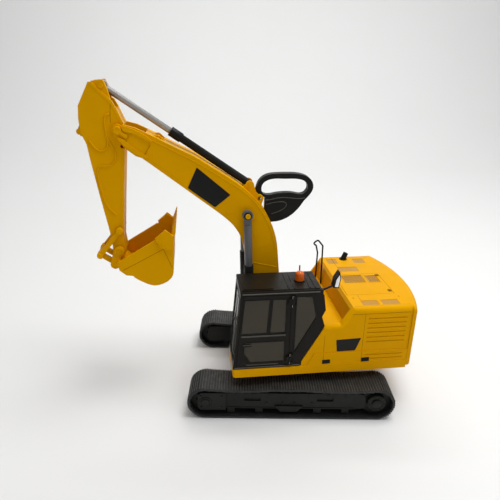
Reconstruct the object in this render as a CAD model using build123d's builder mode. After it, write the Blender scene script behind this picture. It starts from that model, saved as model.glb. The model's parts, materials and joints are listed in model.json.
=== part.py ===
from build123d import *
from math import atan2, cos, degrees, hypot, pi, radians, sin
import os

# Toy crawler excavator, about 1:16.  +X is the way the tracks point, +Y the machine's
# left, +Z up.  The origin is the slew axis where it meets the ground.
# Everything above the slew ring is drawn pointing straight ahead, in the slewed frame,
# and turned by SLEW_REST when it is written.  Side profiles are (forward, height) pairs.

# ---- driving dimensions (mm, degrees) ----
SLEW_REST = 6.87

TRACK_LENGTH = 279.0
TRACK_HEIGHT = 49.0
TRACK_GAUGE = 169.0
SHOE_WIDTH = 45.0
SHOE_COUNT = 56
GROUSER_HEIGHT = 1.2
BAND_THICKNESS = 2.5
WHEEL_WIDTH = 26.0
AXLE_RADIUS = 3.0
RUNNING_FIT = 0.05
CLEARANCE = 0.4

DECK_TOP = 73.0
DECK_BOTTOM = 61.0
UPPER_HALF_WIDTH = 90.0
BODY_HALF_WIDTH = 88.5
HOOD_TOP = 155.0
SHOULDER_TOP = 131.5
COUNTERWEIGHT_FRONT = -148.0
COUNTERWEIGHT_REAR = -172.0
WALL = 2.5

CAB_RIGHT = 33.8
CAB_LEFT = 88.5
CAB_TOP = 183.0
RIGHT_DECK_FRONT = 72.0
CAB_FRONT_LOW = 90.0
CAB_FRONT_LEAN = 9.6
ROOF_TOP = 187.0
DOOR_HINGE = (14.6, 90.9)
PANE = 1.2

BOOM_FOOT = (25.0, 104.0)
BOOM_CYLINDER_BASE = (60.0, 84.0)
BOOM_CYLINDER_PIN = (65.4, 264.8)
STICK_PIN = (221.5, 371.8)
ARM_CYLINDER_BASE = (61.0, 300.5)
ARM_CYLINDER_PIN = (237.0, 421.0)
BUCKET_PIN = (232.0, 217.0)
BUCKET_LINK_PIN = (238.5, 199.0)
ROCKER_PIN = (229.5, 245.0)
KNEE_PIN = (256.5, 212.0)

BOOM_HALF_WIDTH = 19.0
STICK_HALF_WIDTH = 14.5
BUCKET_HALF_WIDTH = 36.0
CYLINDER_LEFT = 26.2

# radial play of the eyes where the working linkages stay open
BASE_EYE_CLEARANCE = 1.7
HEAD_EYE_CLEARANCE = 2.1
LINK_EYE_CLEARANCE = 1.4

# ---- repeated features: stations, (forward, height) places and (x, y) areas (mm) ----
LOWER_ROLLER_X = (-74, -36, 43, 81)
CARRIER_ROLLER_X = (-17, 24)
LOUVRE_Z = (78, 84, 104, 111, 118, 125, 132, 139)
HOOD_HINGE = (-71.3, 153.7)
VENTS = (
    ((-105, -82.5), (66.5, 80)),
    ((-133.5, -110), (66.5, 80)),
    ((-89.5, -74), (-75, -57)),
    ((-134, -115.5), (-74, -56)),
    ((-113, -84), (-43, -26.5)),
)
GRILLES = (((-110, -79), (-12, 12)), ((-131.5, -114.5), (-9, 13)))
WINDSHIELD_Y = (39.0, 84.0)
WINDSHIELD_Z = (82.0, 176.0)
REAR_WINDOW_Z = (150.0, 175.0)
DOOR_KNUCKLES = (86.0, 171.0)
BOOM_SCREWS = ((40, 150), (48, 215), (78, 284), (120, 308), (168, 340))
STICK_SCREWS = ((246, 398), (236, 322), (234, 276))
EARS = ((19.0, 15.0), (-15.0, -19.0))

# ---- derived dimensions ----
END_RADIUS = TRACK_HEIGHT / 2
WHEEL_X = (TRACK_LENGTH - TRACK_HEIGHT) / 2
BAND_OUTER = END_RADIUS - GROUSER_HEIGHT
BAND_INNER = BAND_OUTER - BAND_THICKNESS
WHEEL_RADIUS = BAND_INNER - CLEARANCE
TRACK_Y = TRACK_GAUGE / 2


# ---- helpers ----
def side(left):
    """Vertical plane at this distance to the left, whose X is forward and Y is up."""
    return Plane.XZ.offset(-left)


def outline(*points):
    """A closed straight-sided profile, drawn flat."""
    with BuildSketch() as face:
        with BuildLine():
            Polyline(*points, close=True)
        make_face()
    return face.sketch


def plate(profile, left, right, mode=Mode.ADD):
    """Extrudes a flat profile from one distance to the left to a smaller one."""
    with BuildSketch(side(left)) as placed:
        add(profile)
    extrude(placed.sketch, amount=left - right, mode=mode)


def drum(centre, radius, left, right, mode=Mode.ADD):
    """A cylinder across the machine, about a (forward, height) centre."""
    with BuildSketch(side(left)) as disc:
        with Locations(centre):
            Circle(radius)
    extrude(disc.sketch, amount=left - right, mode=mode)


def block(x, y, z, mode=Mode.ADD):
    """A box between the given pairs of limits."""
    with Locations(((x[0] + x[1]) / 2, (y[0] + y[1]) / 2, (z[0] + z[1]) / 2)):
        Box(abs(x[1] - x[0]), abs(y[1] - y[0]), abs(z[1] - z[0]), mode=mode)


def on_side(sign, near, far):
    """Left and right limits of a span that is given for the left and may be mirrored."""
    return max(sign * near, sign * far), min(sign * near, sign * far)


def keep(builder, name, slewed=True):
    """Labels a finished piece and writes it, turned with the upper structure or not."""
    if slewed:
        piece = builder.part.rotate(Axis.Z, SLEW_REST)
    else:
        piece = builder.part
    piece.label = name
    export_step(piece, f"parts/{name}.step")


def toward(start, end, distance):
    """The point at this distance from start on the line to end."""
    length = hypot(end[0] - start[0], end[1] - start[1])
    step = distance / length
    return (start[0] + (end[0] - start[0]) * step, start[1] + (end[1] - start[1]) * step)


def along(start, end, near, far, half_width):
    """A bar profile beside the line from start to end, between two distances on it."""
    angle = atan2(end[1] - start[1], end[0] - start[0])
    normal = (-sin(angle) * half_width, cos(angle) * half_width)
    first = toward(start, end, near)
    last = toward(start, end, far)
    return outline(
        (first[0] + normal[0], first[1] + normal[1]),
        (last[0] + normal[0], last[1] + normal[1]),
        (last[0] - normal[0], last[1] - normal[1]),
        (first[0] - normal[0], first[1] - normal[1]),
    )


def tube(start, end, near, far, radius, left, mode=Mode.ADD):
    """A round bar on the line from start to end, at one distance to the left."""
    first = toward(start, end, near)
    direction = (end[0] - start[0], 0, end[1] - start[1])
    plane = Plane(origin=(first[0], left, first[1]), z_dir=direction)
    with BuildSketch(plane) as disc:
        Circle(radius)
    extrude(disc.sketch, amount=far - near, mode=mode)


# ---- undercarriage ----
def belt_station(distance, radius):
    """Location on the belt loop after this distance from the front of its top run."""
    straight = 2 * WHEEL_X
    arc = pi * radius
    if distance < straight:
        return Location((WHEEL_X - distance, 0, END_RADIUS + radius), (0, 0, 0))
    if distance < straight + arc:
        turn = (distance - straight) / radius
        place = (-WHEEL_X - radius * sin(turn), 0, END_RADIUS + radius * cos(turn))
        return Location(place, (0, -degrees(turn), 0))
    if distance < 2 * straight + arc:
        run = distance - straight - arc
        return Location((-WHEEL_X + run, 0, END_RADIUS - radius), (0, 180, 0))
    turn = (distance - 2 * straight - arc) / radius
    place = (WHEEL_X + radius * sin(turn), 0, END_RADIUS - radius * cos(turn))
    return Location(place, (0, 180 - degrees(turn), 0))


def make_track_belt(sign, name):
    lug_height = 3.0
    lug_width = 6.0
    loop = 4 * WHEEL_X + 2 * pi * BAND_OUTER
    pitch = loop / SHOE_COUNT
    across = Location((0, sign * TRACK_Y, 0))
    with BuildPart() as belt:
        with BuildSketch(side(sign * TRACK_Y + SHOE_WIDTH / 2)) as band:
            with Locations((0, END_RADIUS)):
                SlotCenterToCenter(2 * WHEEL_X, 2 * BAND_OUTER)
                SlotCenterToCenter(2 * WHEEL_X, 2 * BAND_INNER, mode=Mode.SUBTRACT)
        extrude(band.sketch, amount=SHOE_WIDTH)
        middle = BAND_OUTER
        shoes = [across * belt_station(i * pitch, middle) for i in range(SHOE_COUNT)]
        with Locations(*shoes):
            Box(0.78 * pitch, SHOE_WIDTH, 2 * GROUSER_HEIGHT)
        inner = BAND_INNER
        inner_pitch = (4 * WHEEL_X + 2 * pi * inner) / SHOE_COUNT
        lugs = [across * belt_station(i * inner_pitch, inner) for i in range(SHOE_COUNT)]
        with Locations(*lugs):
            Box(0.4 * pitch, lug_width, 2 * lug_height - 2.0)
    keep(belt, name, slewed=False)


def make_track_frame(sign, name):
    inner, outer = 66.0, 101.0
    wall = 3.0
    beam = (13.0, 38.0)
    with BuildPart() as frame:
        block((-88, 92), (sign * inner, sign * outer), beam)
        block((-85, 89), (sign * (inner + wall), sign * (outer - wall)), (10, 35), Mode.SUBTRACT)
        for slot in ((-57, -35), (41, 63)):
            block(slot, (sign * (outer - 2), sign * (outer + 1)), (25, 31), Mode.SUBTRACT)
        # front guard: a rounded block outside the idler and a plate inside it
        guard = outline((88, 12), (122, 12), (125.5, 16), (125.5, 35), (121, 39), (88, 39))
        plate(guard, *on_side(sign, 98.3, 104.0))
        plate(guard, *on_side(sign, 66.0, 70.7))
        # rear: the drive wheel's inner arm and the fairing beside the wheel
        arm = outline((-84, 13), (-84, 38), (-118, 37), (-126, 30), (-126, 19), (-118, 12))
        plate(arm, *on_side(sign, 66.0, 70.7))
        fairing = outline(
            (-88, 13), (-88, 38), (-98, 36), (-100.5, 30), (-100.5, 19), (-98, 14)
        )
        plate(fairing, *on_side(sign, 98.3, 101.0))
        # curved track guide under the middle of the beam
        guide = outline((-16, 18), (22, 18), (14, 9), (-8, 9))
        plate(guide, *on_side(sign, 98.0, 103.0))
        # roller brackets under and over the beam
        for x in LOWER_ROLLER_X:
            for near, far in ((66.0, 73.0), (96.0, 101.0)):
                block((x - 5, x + 5), (sign * near, sign * far), (5.5, 16))
            drum((x, 8.6), 1.5, *on_side(sign, 72.0, 97.0), mode=Mode.SUBTRACT)
        for x in CARRIER_ROLLER_X:
            for near, far in ((72.0, 75.0), (94.0, 97.0)):
                block((x - 3.5, x + 3.5), (sign * near, sign * far), (37, 44))
            drum((x, 41.4), 0.9, *on_side(sign, 73.0, 96.0), mode=Mode.SUBTRACT)
        for x in (WHEEL_X, -WHEEL_X):
            drum((x, END_RADIUS), AXLE_RADIUS, *on_side(sign, 60, 110), mode=Mode.SUBTRACT)
    keep(frame, name, slewed=False)


def add_roller(sign, centre, radius, pin, width, reach):
    """A roller of two rims, so that the belt's lugs pass between them, on its own pin."""
    for near, far in ((-width, -4.0), (4.0, width)):
        drum(centre, radius, *on_side(sign, TRACK_Y + near, TRACK_Y + far))
    drum(centre, pin + 0.6, *on_side(sign, TRACK_Y - width, TRACK_Y + width))
    drum(centre, pin, *on_side(sign, TRACK_Y - reach, TRACK_Y + reach))


def make_rollers():
    with BuildPart() as rollers:
        for sign in (1, -1):
            for x in LOWER_ROLLER_X:
                add_roller(sign, (x, 8.6), 4.2, 1.5, 10.0, 12.0)
            for x in CARRIER_ROLLER_X:
                add_roller(sign, (x, 41.4), 3.2, 0.9, 8.5, 11.0)
    keep(rollers, "track_rollers", slewed=False)


def make_wheel(sign, x, name, hub_reach):
    """An end wheel with a groove for the belt's lugs, lightening holes and a hub."""
    inner = TRACK_Y - WHEEL_WIDTH / 2
    outer = TRACK_Y + WHEEL_WIDTH / 2
    centre = (x, END_RADIUS)
    with BuildPart() as wheel:
        drum(centre, WHEEL_RADIUS, *on_side(sign, inner, outer))
        with BuildSketch(side(sign * TRACK_Y + 4)) as groove:
            with Locations(centre):
                Circle(WHEEL_RADIUS + 2)
                Circle(WHEEL_RADIUS - 3.6, mode=Mode.SUBTRACT)
        extrude(groove.sketch, amount=8, mode=Mode.SUBTRACT)
        with BuildSketch(side(sign * TRACK_Y + 20)) as holes:
            with Locations(centre):
                with PolarLocations(10.5, 6):
                    Circle(2.6)
        extrude(holes.sketch, amount=40, mode=Mode.SUBTRACT)
        if hub_reach > 0:
            drum(centre, 12.5, *on_side(sign, outer - 2, outer + hub_reach))
        bore = AXLE_RADIUS + RUNNING_FIT
        drum(centre, bore, *on_side(sign, inner - 5, outer + 20), mode=Mode.SUBTRACT)
    keep(wheel, name, slewed=False)


def make_axles():
    with BuildPart() as axles:
        for sign in (1, -1):
            front = (WHEEL_X, END_RADIUS)
            rear = (-WHEEL_X, END_RADIUS)
            drum(front, AXLE_RADIUS, *on_side(sign, 66.0, 105.0))
            drum(front, 5.4, *on_side(sign, 104.0, 106.0))
            drum(rear, AXLE_RADIUS, *on_side(sign, 66.0, 104.5))
            drum(rear, 6.0, *on_side(sign, 103.4, 105.4))
    keep(axles, "track_axles", slewed=False)


def make_car_body():
    with BuildPart() as body:
        block((-46, 46), (-66, 66), (16, 40))
        for x in (-56, 56):
            block((x - 12, x + 12), (-66, 66), (18, 34))
        with Locations((0, 0, 45)):
            Cylinder(40, 10)
        with Locations((0, 0, 52)):
            Cylinder(37, 11.2)
        chamfer(body.faces().sort_by(Axis.Z)[-1].edges(), 1.5)
        with Locations((0, 0, 33)):
            Cylinder(12 + RUNNING_FIT, 60, mode=Mode.SUBTRACT)
        with Locations((0, 0, 20.4)):
            Cylinder(18, 20, mode=Mode.SUBTRACT)
        with Locations((0, 0, 56)):
            Cylinder(26, 8, mode=Mode.SUBTRACT)
    keep(body, "car_body", slewed=False)


# ---- upper structure ----
def make_turntable():
    with BuildPart() as deck:
        block((COUNTERWEIGHT_FRONT, 90), (-90, 90), (DECK_BOTTOM, DECK_TOP))
        front = deck.edges().filter_by(Axis.Z).group_by(Axis.X)[-1]
        fillet(front, 4)
        # right of the cab the deck ends further back
        block((RIGHT_DECK_FRONT, 95), (-95, 31), (DECK_BOTTOM - 1, DECK_TOP + 1), Mode.SUBTRACT)
        block((COUNTERWEIGHT_FRONT + 3, RIGHT_DECK_FRONT - 3), (-87, 87), (DECK_BOTTOM - 1, 70),
              Mode.SUBTRACT)
        block((RIGHT_DECK_FRONT - 4, 87), (34, 87), (DECK_BOTTOM - 1, 70), Mode.SUBTRACT)
        for x in (-60, 50):
            block((x - 1.2, x + 1.2), (-87.5, 87.5), (63, 70.5))
        with Locations((0, 0, 64.5)):
            Cylinder(40, 13)
        with Locations((0, 0, 51)):
            Cylinder(12, 42)
        with Locations((0, 0, 40)):
            Cylinder(1.6, 24, mode=Mode.SUBTRACT)
    keep(deck, "turntable_deck")


def make_slew_retainer():
    """Washer and screw that hold the deck's spigot in the car body."""
    with BuildPart() as retainer:
        with Locations((0, 0, 28.4)):
            Cylinder(17, 3.2)
            Cylinder(1.6, 5, mode=Mode.SUBTRACT)
    with BuildPart() as screw:
        with Locations((0, 0, 25.4)):
            Cylinder(4, 2.8)
        with Locations((0, 0, 38)):
            Cylinder(1.6, 24)
        block((-9, 9), (-0.8, 0.8), (23, 25.0), Mode.SUBTRACT)
    keep(retainer, "slew_retainer")
    keep(screw, "slew_screw")


def make_body_housing():
    rear = COUNTERWEIGHT_FRONT
    profile = outline(
        (-1.4, DECK_TOP), (-1.7, 79.5), (-30.6, SHOULDER_TOP), (-52, SHOULDER_TOP),
        (-67.5, HOOD_TOP), (rear, HOOD_TOP), (rear, DECK_TOP),
    )
    hollow = outline(
        (-6, 60), (-6, 78), (-31, 118), (-31, 122.5), (-64, 122.5), (-66, 130),
        (-71.4, 150), (rear + WALL, 150), (rear + WALL, 60),
    )
    recess = outline((-20, 125), (-62, 125), (-66.6, 170), (-20, 170))
    half = BODY_HALF_WIDTH
    with BuildPart() as housing:
        plate(profile, half, -half)
        top_edges = housing.edges().filter_by(
            lambda edge: abs(edge.center().Y) > half - 0.1 and edge.center().Z > 125
        )
        fillet(top_edges, 6.5)
        for sign in (1, -1):
            left, right = on_side(sign, half - 1, half + 1)
            plate(outline((-9, DECK_TOP), (-19, 91), (rear, 91), (rear, DECK_TOP)), left, right)
        plate(hollow, half - WALL, WALL - half, Mode.SUBTRACT)
        plate(recess, 80, -80, Mode.SUBTRACT)
        # pressed louvres on both sides of the engine bay
        for sign in (1, -1):
            for z in LOUVRE_Z:
                reach = half if z > 91 else half + 1
                block((-141, -88), (sign * (reach - 0.8), sign * (reach + 1)), (z, z + 1.4),
                      Mode.SUBTRACT)
        # opening for the engine hood and the vent recesses round it
        block((-137.5, -69.5), (-16.5, 49.5), (145, 160), Mode.SUBTRACT)
        for x, y in VENTS:
            block(x, y, (HOOD_TOP - 1, HOOD_TOP + 1), Mode.SUBTRACT)
        # ledge and hinge bores for the hood
        block((-143, -134.5), (-20, 53), (148, 152))
        block((-136.5, -100), (-12, 45), (140, 149.4), Mode.SUBTRACT)
        drum(HOOD_HINGE, 0.7, 53, -20, Mode.SUBTRACT)
    keep(housing, "body_housing")


def make_roof_vents():
    with BuildPart() as vents:
        for x, y in VENTS:
            block(x, y, (HOOD_TOP - 1, HOOD_TOP - 0.1))
        for x, y in VENTS:
            middle = (y[0] + y[1]) / 2
            rows = int((y[1] - y[0]) / 2)
            with Locations(((x[0] + x[1]) / 2, middle, HOOD_TOP)):
                with GridLocations(0, 2, 1, rows):
                    Box(x[1] - x[0] - 2, 0.8, 0.9, mode=Mode.SUBTRACT)
    keep(vents, "roof_vents")


def make_counterweight():
    half = UPPER_HALF_WIDTH
    front = COUNTERWEIGHT_FRONT
    with BuildPart() as weight:
        with BuildSketch(Plane.XY.offset(DECK_BOTTOM)) as plan:
            with BuildLine():
                Line((front, -half), (front, half))
                Line((front, half), (front - 5, half))
                ThreePointArc((front - 5, half), (COUNTERWEIGHT_REAR, 0), (front - 5, -half))
                Line((front - 5, -half), (front, -half))
            make_face()
        extrude(plan.sketch, amount=HOOD_TOP - DECK_BOTTOM)
        rim = weight.edges().filter_by(lambda edge: edge.center().X < front - 1)
        fillet(rim.filter_by(lambda edge: abs(edge.center().Z - 108) > 40), 7.5)
        block((front - 13, front + 5), (-48, 48), (68, 147), Mode.SUBTRACT)
        block((front - 6, front + 5), (-70, 70), (68, 147), Mode.SUBTRACT)
    keep(weight, "counterweight")


def make_engine_hood():
    with BuildPart() as hood:
        block((-137, HOOD_HINGE[0]), (-16, 49), (152.4, HOOD_TOP))
        drum(HOOD_HINGE, 1.3, 49, -16)
        for x, y in GRILLES:
            block(x, y, (150, 160), Mode.SUBTRACT)
        drum(HOOD_HINGE, 0.75, 60, -30, Mode.SUBTRACT)
        for y in (-9, 41):
            block((-136, -131.5), (y - 2.5, y + 2.5), (154.2, HOOD_TOP + 0.4))
    keep(hood, "engine_hood")


def make_hood_grilles():
    with BuildPart() as grilles:
        for x, y in GRILLES:
            block(x, y, (153.0, 154.4))
        with BuildSketch(Plane.XY.offset(160)) as holes:
            for x, y in GRILLES:
                across = int((x[1] - x[0] - 2) / 2.6)
                down = int((y[1] - y[0] - 2) / 2.6)
                with Locations(((x[0] + x[1]) / 2, (y[0] + y[1]) / 2)):
                    with GridLocations(2.6, 2.6, across, down):
                        Circle(0.8)
        extrude(holes.sketch, amount=-10, mode=Mode.SUBTRACT)
    keep(grilles, "hood_grilles")


def make_engine_block():
    with BuildPart() as engine:
        block((-128, -84), (-8, 30), (DECK_TOP, 118))
        fillet(engine.edges().filter_by(Axis.Z), 3)
        block((-124, -88), (-3, 25), (118, 132))
        for x in (-119, -111, -103, -95):
            with Locations((x, 11, 134)):
                Cylinder(3, 6)
        block((-126, -86), (30, 36), (84, 108))
        drum((-106, 92), 11, -8, -14)
        drum((-106, 92), 3, -12, -20)
    keep(engine, "engine_block")


def make_right_tank():
    with BuildPart() as tank:
        body = outline((-1.0, DECK_TOP), (-1.2, 79.5), (-24.2, 121), (44, 121), (44, DECK_TOP))
        plate(body, -36, -88.5)
        fillet(tank.faces().sort_by(Axis.Z)[-1].edges(), 3)
        block((43, RIGHT_DECK_FRONT - 2), (-88.5, -42), (DECK_TOP, 97))
        block((57, RIGHT_DECK_FRONT), (-70, -41), (87, 98), Mode.SUBTRACT)
        hollow = outline((2, 60), (2, 80.5), (-18, 117), (41, 117), (41, 60))
        plate(hollow, -39, -85.5, Mode.SUBTRACT)
        block((40, RIGHT_DECK_FRONT - 5), (-85.5, -45), (60, 84), Mode.SUBTRACT)
        with Locations((8, -62, 122)):
            Cylinder(7, 3)
    keep(tank, "right_tank")


def make_boom_bracket():
    cheek = outline((6, DECK_TOP), (44, DECK_TOP), (35.5, 108), (14.5, 108))
    lug = outline((51, DECK_TOP), (69, DECK_TOP), (65.2, 84), (54.8, 84))
    with BuildPart() as bracket:
        for left, right in ((22.9, 19.4), (-19.4, -22.9)):
            plate(cheek, left, right)
            drum(BOOM_FOOT, 11, left, right)
        block((6, 44), (-22.9, 22.9), (DECK_TOP, 78))
        for left, right in ((22.0, 15.0), (-15.0, -22.0)):
            plate(lug, left, right)
            drum(BOOM_CYLINDER_BASE, 5.2, left, right)
        block((44, 69), (-22, 22), (DECK_TOP, 75.5))
        drum(BOOM_FOOT, 4, 30, -30, Mode.SUBTRACT)
        drum(BOOM_CYLINDER_BASE, 2.6, 40, -40, Mode.SUBTRACT)
    keep(bracket, "boom_bracket")


def make_base_pins():
    """The boom's foot pin and the pin of the two lift cylinders, both with heads."""
    with BuildPart() as pins:
        drum(BOOM_FOOT, 4, 24.4, -24.4)
        drum(BOOM_CYLINDER_BASE, 2.6, 32.6, -32.6)
        for sign in (1, -1):
            drum(BOOM_FOOT, 6, *on_side(sign, 22.9, 24.4))
            drum(BOOM_CYLINDER_BASE, 4, *on_side(sign, 31.0, 32.6))
    keep(pins, "base_pins")


def make_handrail():
    left = -50.0
    with BuildPart() as rail:
        with BuildLine() as path:
            FilletPolyline(
                (-51.5, left, 125), (-52.5, left, 178), (-49.5, left, 190), (-44, left, 193),
                (-52, left, 198.5), (-60, left, 189), (-61, left, 125),
                radius=2.5,
            )
        with BuildSketch(Plane(origin=(-51.5, left, 125), z_dir=(-1, 0, 53))) as round_bar:
            Circle(1.2)
        sweep(round_bar.sketch, path=path.line)
    keep(rail, "handrail")


def make_exhaust():
    with BuildPart() as stub:
        tube((-101.5, 155), (-107, 168), 0, 11.5, 4.0, -74.0)
        with Locations((-102, -74, 155.6)):
            Cylinder(6, 1.2)
        tube((-101.5, 155), (-107, 168), 5, 20, 3.0, -74.0, Mode.SUBTRACT)
        block((-120, -90), (-85, -60), (150, HOOD_TOP), Mode.SUBTRACT)
    keep(stub, "exhaust_stub")


# ---- cab ----
def cab_front(z):
    """Forward position of the cab's leaning front face at a height."""
    return CAB_FRONT_LOW - (z - DECK_TOP) * CAB_FRONT_LEAN / (CAB_TOP - DECK_TOP)


def cab_shell():
    return outline(
        (CAB_FRONT_LOW, DECK_TOP), (cab_front(CAB_TOP), CAB_TOP), (-22.5, CAB_TOP),
        (-26, 177), (-29.4, 155.7), (-25.3, 146), (-29.6, 132.3), (-0.7, 79.5), (-0.5, DECK_TOP),
    )


def make_cab_frame():
    room = outline(
        (cab_front(76) - 3, 76), (cab_front(180) - 3, 180), (-19, 180), (-23, 176),
        (-26, 155.7), (-22, 146), (-26, 133), (2.5, 80.5), (2.7, 76),
    )
    doorway = outline(
        (15.7, 76.3), (cab_front(76.3) - 3.6, 76.3), (cab_front(180) - 3.6, 180), (15.7, 180)
    )
    with BuildPart() as frame:
        plate(cab_shell(), CAB_LEFT, CAB_RIGHT)
        plate(room, CAB_LEFT - 3, CAB_RIGHT + 3, Mode.SUBTRACT)
        plate(doorway, CAB_LEFT + 1, CAB_LEFT - 4, Mode.SUBTRACT)
        plate(quarter_window(), CAB_LEFT + 1, CAB_LEFT - 4, Mode.SUBTRACT)
        plate(right_window(), CAB_RIGHT + 4, CAB_RIGHT - 1, Mode.SUBTRACT)
        block((70, 100), WINDSHIELD_Y, WINDSHIELD_Z, Mode.SUBTRACT)
        block((-40, -15), WINDSHIELD_Y, REAR_WINDOW_Z, Mode.SUBTRACT)
        # hinge lugs that carry the door pins, above and below each door knuckle
        x, y = DOOR_HINGE
        for z in DOOR_KNUCKLES:
            for low, high in ((z - 7.0, z - 4.2), (z + 4.2, z + 7.0)):
                block((x - 3.6, x + 0.6), (CAB_LEFT - 1, y + 1.4), (low, high))
            with Locations((x, y, z)):
                Cylinder(1.0, 20, mode=Mode.SUBTRACT)
    keep(frame, "cab_frame")


def quarter_window():
    return outline((9.5, 177), (-11.5, 176), (-18, 146), (9.5, 93))


def right_window():
    return outline((-16, 175), (-18, 150), (-10, 118), (80, 118), (75.5, 175))


def make_cab_glass():
    low, high = WINDSHIELD_Z
    with BuildPart() as windshield:
        pane = outline(
            (cab_front(low) - 0.8, low), (cab_front(low) - 0.8 - PANE, low),
            (cab_front(high) - 0.8 - PANE, high), (cab_front(high) - 0.8, high),
        )
        plate(pane, WINDSHIELD_Y[1], WINDSHIELD_Y[0])
    keep(windshield, "windshield")
    low, high = REAR_WINDOW_Z
    with BuildPart() as panes:
        plate(quarter_window(), CAB_LEFT - 0.8, CAB_LEFT - 0.8 - PANE)
        plate(right_window(), CAB_RIGHT + 0.8 + PANE, CAB_RIGHT + 0.8)
        pane = outline((-27.3, low), (-26.1, low), (-26.1, 157), (-24.6, high), (-25.8, high),
                       (-27.3, 157))
        plate(pane, WINDSHIELD_Y[1], WINDSHIELD_Y[0])
    keep(panes, "cab_windows")


def make_cab_roof():
    """Roof panel with its ribs, hatch, beacon seat and antenna stub."""
    front = cab_front(CAB_TOP) + 0.6
    with BuildPart() as roof:
        block((-22.6, front), (CAB_RIGHT - 0.4, CAB_LEFT + 0.4), (CAB_TOP, ROOF_TOP - 1.2))
        fillet(roof.edges().filter_by(Axis.Z), 3)
        block((-20.5, front - 2), (CAB_RIGHT + 2, CAB_LEFT - 2), (CAB_TOP, ROOF_TOP - 0.4))
        for x in (-15, -8, 12, 19):
            block((x - 0.8, x + 0.8), (CAB_RIGHT + 4, CAB_LEFT - 4), (185, ROOF_TOP + 0.2))
        block((39, front - 4), (CAB_RIGHT + 4.5, CAB_LEFT - 4.5), (185, ROOF_TOP + 0.4))
        with Locations((1, 62, 187.05)):
            Cylinder(7.4, 1.7)
        with Locations((-4.3, 38, 187.4)):
            Cylinder(2, 1.6)
        with Locations((-4.3, 38, 192.5)):
            Cylinder(0.9, 9)
    keep(roof, "cab_roof")


def make_beacon():
    with BuildPart() as lens:
        with Locations((1, 62, 193.65)):
            Cone(6.2, 5.4, 11.5)
        fillet(lens.faces().sort_by(Axis.Z)[-1].edges(), 4)
    keep(lens, "beacon_lens")


def make_mirror():
    left = 84.0
    with BuildPart() as arm:
        tube((-22.0, 181.5), (-37, 188), 1.8, 16.4, 1.3, left)
        plate(outline((-22.4, 178.5), (-25, 178.5), (-25, 184), (-22.4, 184)), left + 3, left - 3)
        head = outline((-36.5, 187), (-43.5, 186), (-45.6, 199), (-43.8, 208), (-38.5, 199))
        plate(head, left + 6, left - 6)
        block((-60, -20), (left + 4.6, left + 7), (150, 230), Mode.SUBTRACT)
        plate(cab_shell(), CAB_LEFT, CAB_RIGHT, Mode.SUBTRACT)
    keep(arm, "mirror_bracket")
    with BuildPart() as glass:
        face = outline((-38.3, 188.6), (-42.6, 188), (-44.3, 199), (-43.3, 204.5), (-39.8, 198.4))
        plate(face, left + 5.2, left + 4.6)
    keep(glass, "mirror_glass")


def make_door():
    x, y = DOOR_HINGE
    gap = 0.4
    with BuildPart() as door:
        rim = outline(
            (15.7 + gap, 76.3 + gap), (cab_front(76.7) - 4.0, 76.3 + gap),
            (cab_front(179.6) - 4.0, 180 - gap), (15.7 + gap, 180 - gap),
        )
        plate(rim, CAB_LEFT, CAB_LEFT - 2.6)
        for opening in door_openings():
            plate(opening, CAB_LEFT + 1, CAB_LEFT - 4, Mode.SUBTRACT)
        # sill bar under the sliding pane and the grab handle below it
        block((22, 79), (CAB_LEFT - 0.7, CAB_LEFT + 0.9), (121, 123))
        block((66, 78), (CAB_LEFT - 0.7, CAB_LEFT + 1.6), (107.5, 109.5))
        for z in DOOR_KNUCKLES:
            block((x, x + 5), (CAB_LEFT + 0.4, y + 0.8), (z - 3.8, z + 3.8))
            block((x + 1.7, x + 5), (CAB_LEFT - 1, y + 0.8), (z - 3.8, z + 3.8))
            with Locations((x, y, z)):
                Cylinder(2.0, 7.6)
                Cylinder(1.0 + RUNNING_FIT, 10, mode=Mode.SUBTRACT)
    keep(door, "door_frame")
    with BuildPart() as panes:
        for opening in door_openings():
            plate(opening, CAB_LEFT - 0.7, CAB_LEFT - 0.7 - PANE)
    keep(panes, "door_glass")


def make_hinge_pins():
    """Two upright pins of the cab door and two level pins of the engine hood."""
    x, y = DOOR_HINGE
    with BuildPart() as pins:
        for z in DOOR_KNUCKLES:
            with Locations((x, y, z)):
                Cylinder(1.0, 14.6)
        drum(HOOD_HINGE, 0.7, 52.5, 45)
        drum(HOOD_HINGE, 0.7, -12, -19.5)
    keep(pins, "hinge_pins")


def door_openings():
    """Front and rear panes of the upper window and the lower pane, with a cut corner."""
    front = outline((46, 125), (79.5, 125), (75.2, 174), (43, 174))
    rear = outline((22, 125), (42.5, 125), (39.5, 174), (22, 174))
    lower = outline((22, 81.5), (67, 81.5), (76, 97), (74.5, 113), (22, 113))
    return front, rear, lower


def make_seat():
    with BuildPart() as seat:
        block((8, 38), (46, 76), (92, 101))
        plate(outline((4, 96), (12, 96), (6, 138), (-1, 137)), 75, 47)
        plate(outline((-0.5, 138), (6, 139), (4.5, 150), (-1, 149)), 69, 53)
        fillet(seat.edges().filter_by(Axis.Y), 1.4)
        block((12, 34), (50, 72), (76, 92.5))
    keep(seat, "operator_seat")
    with BuildPart() as consoles:
        for y in (41.5, 80.5):
            block((12, 44), (y - 3, y + 3), (76, 108))
            with Locations((38, y, 114)):
                Cylinder(1.2, 14)
            with Locations((38, y, 122)):
                Sphere(2.6)
        block((66, 70), (52, 56), (76, 92))
        block((66, 70), (66, 70), (76, 92))
    keep(consoles, "control_levers")


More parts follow.
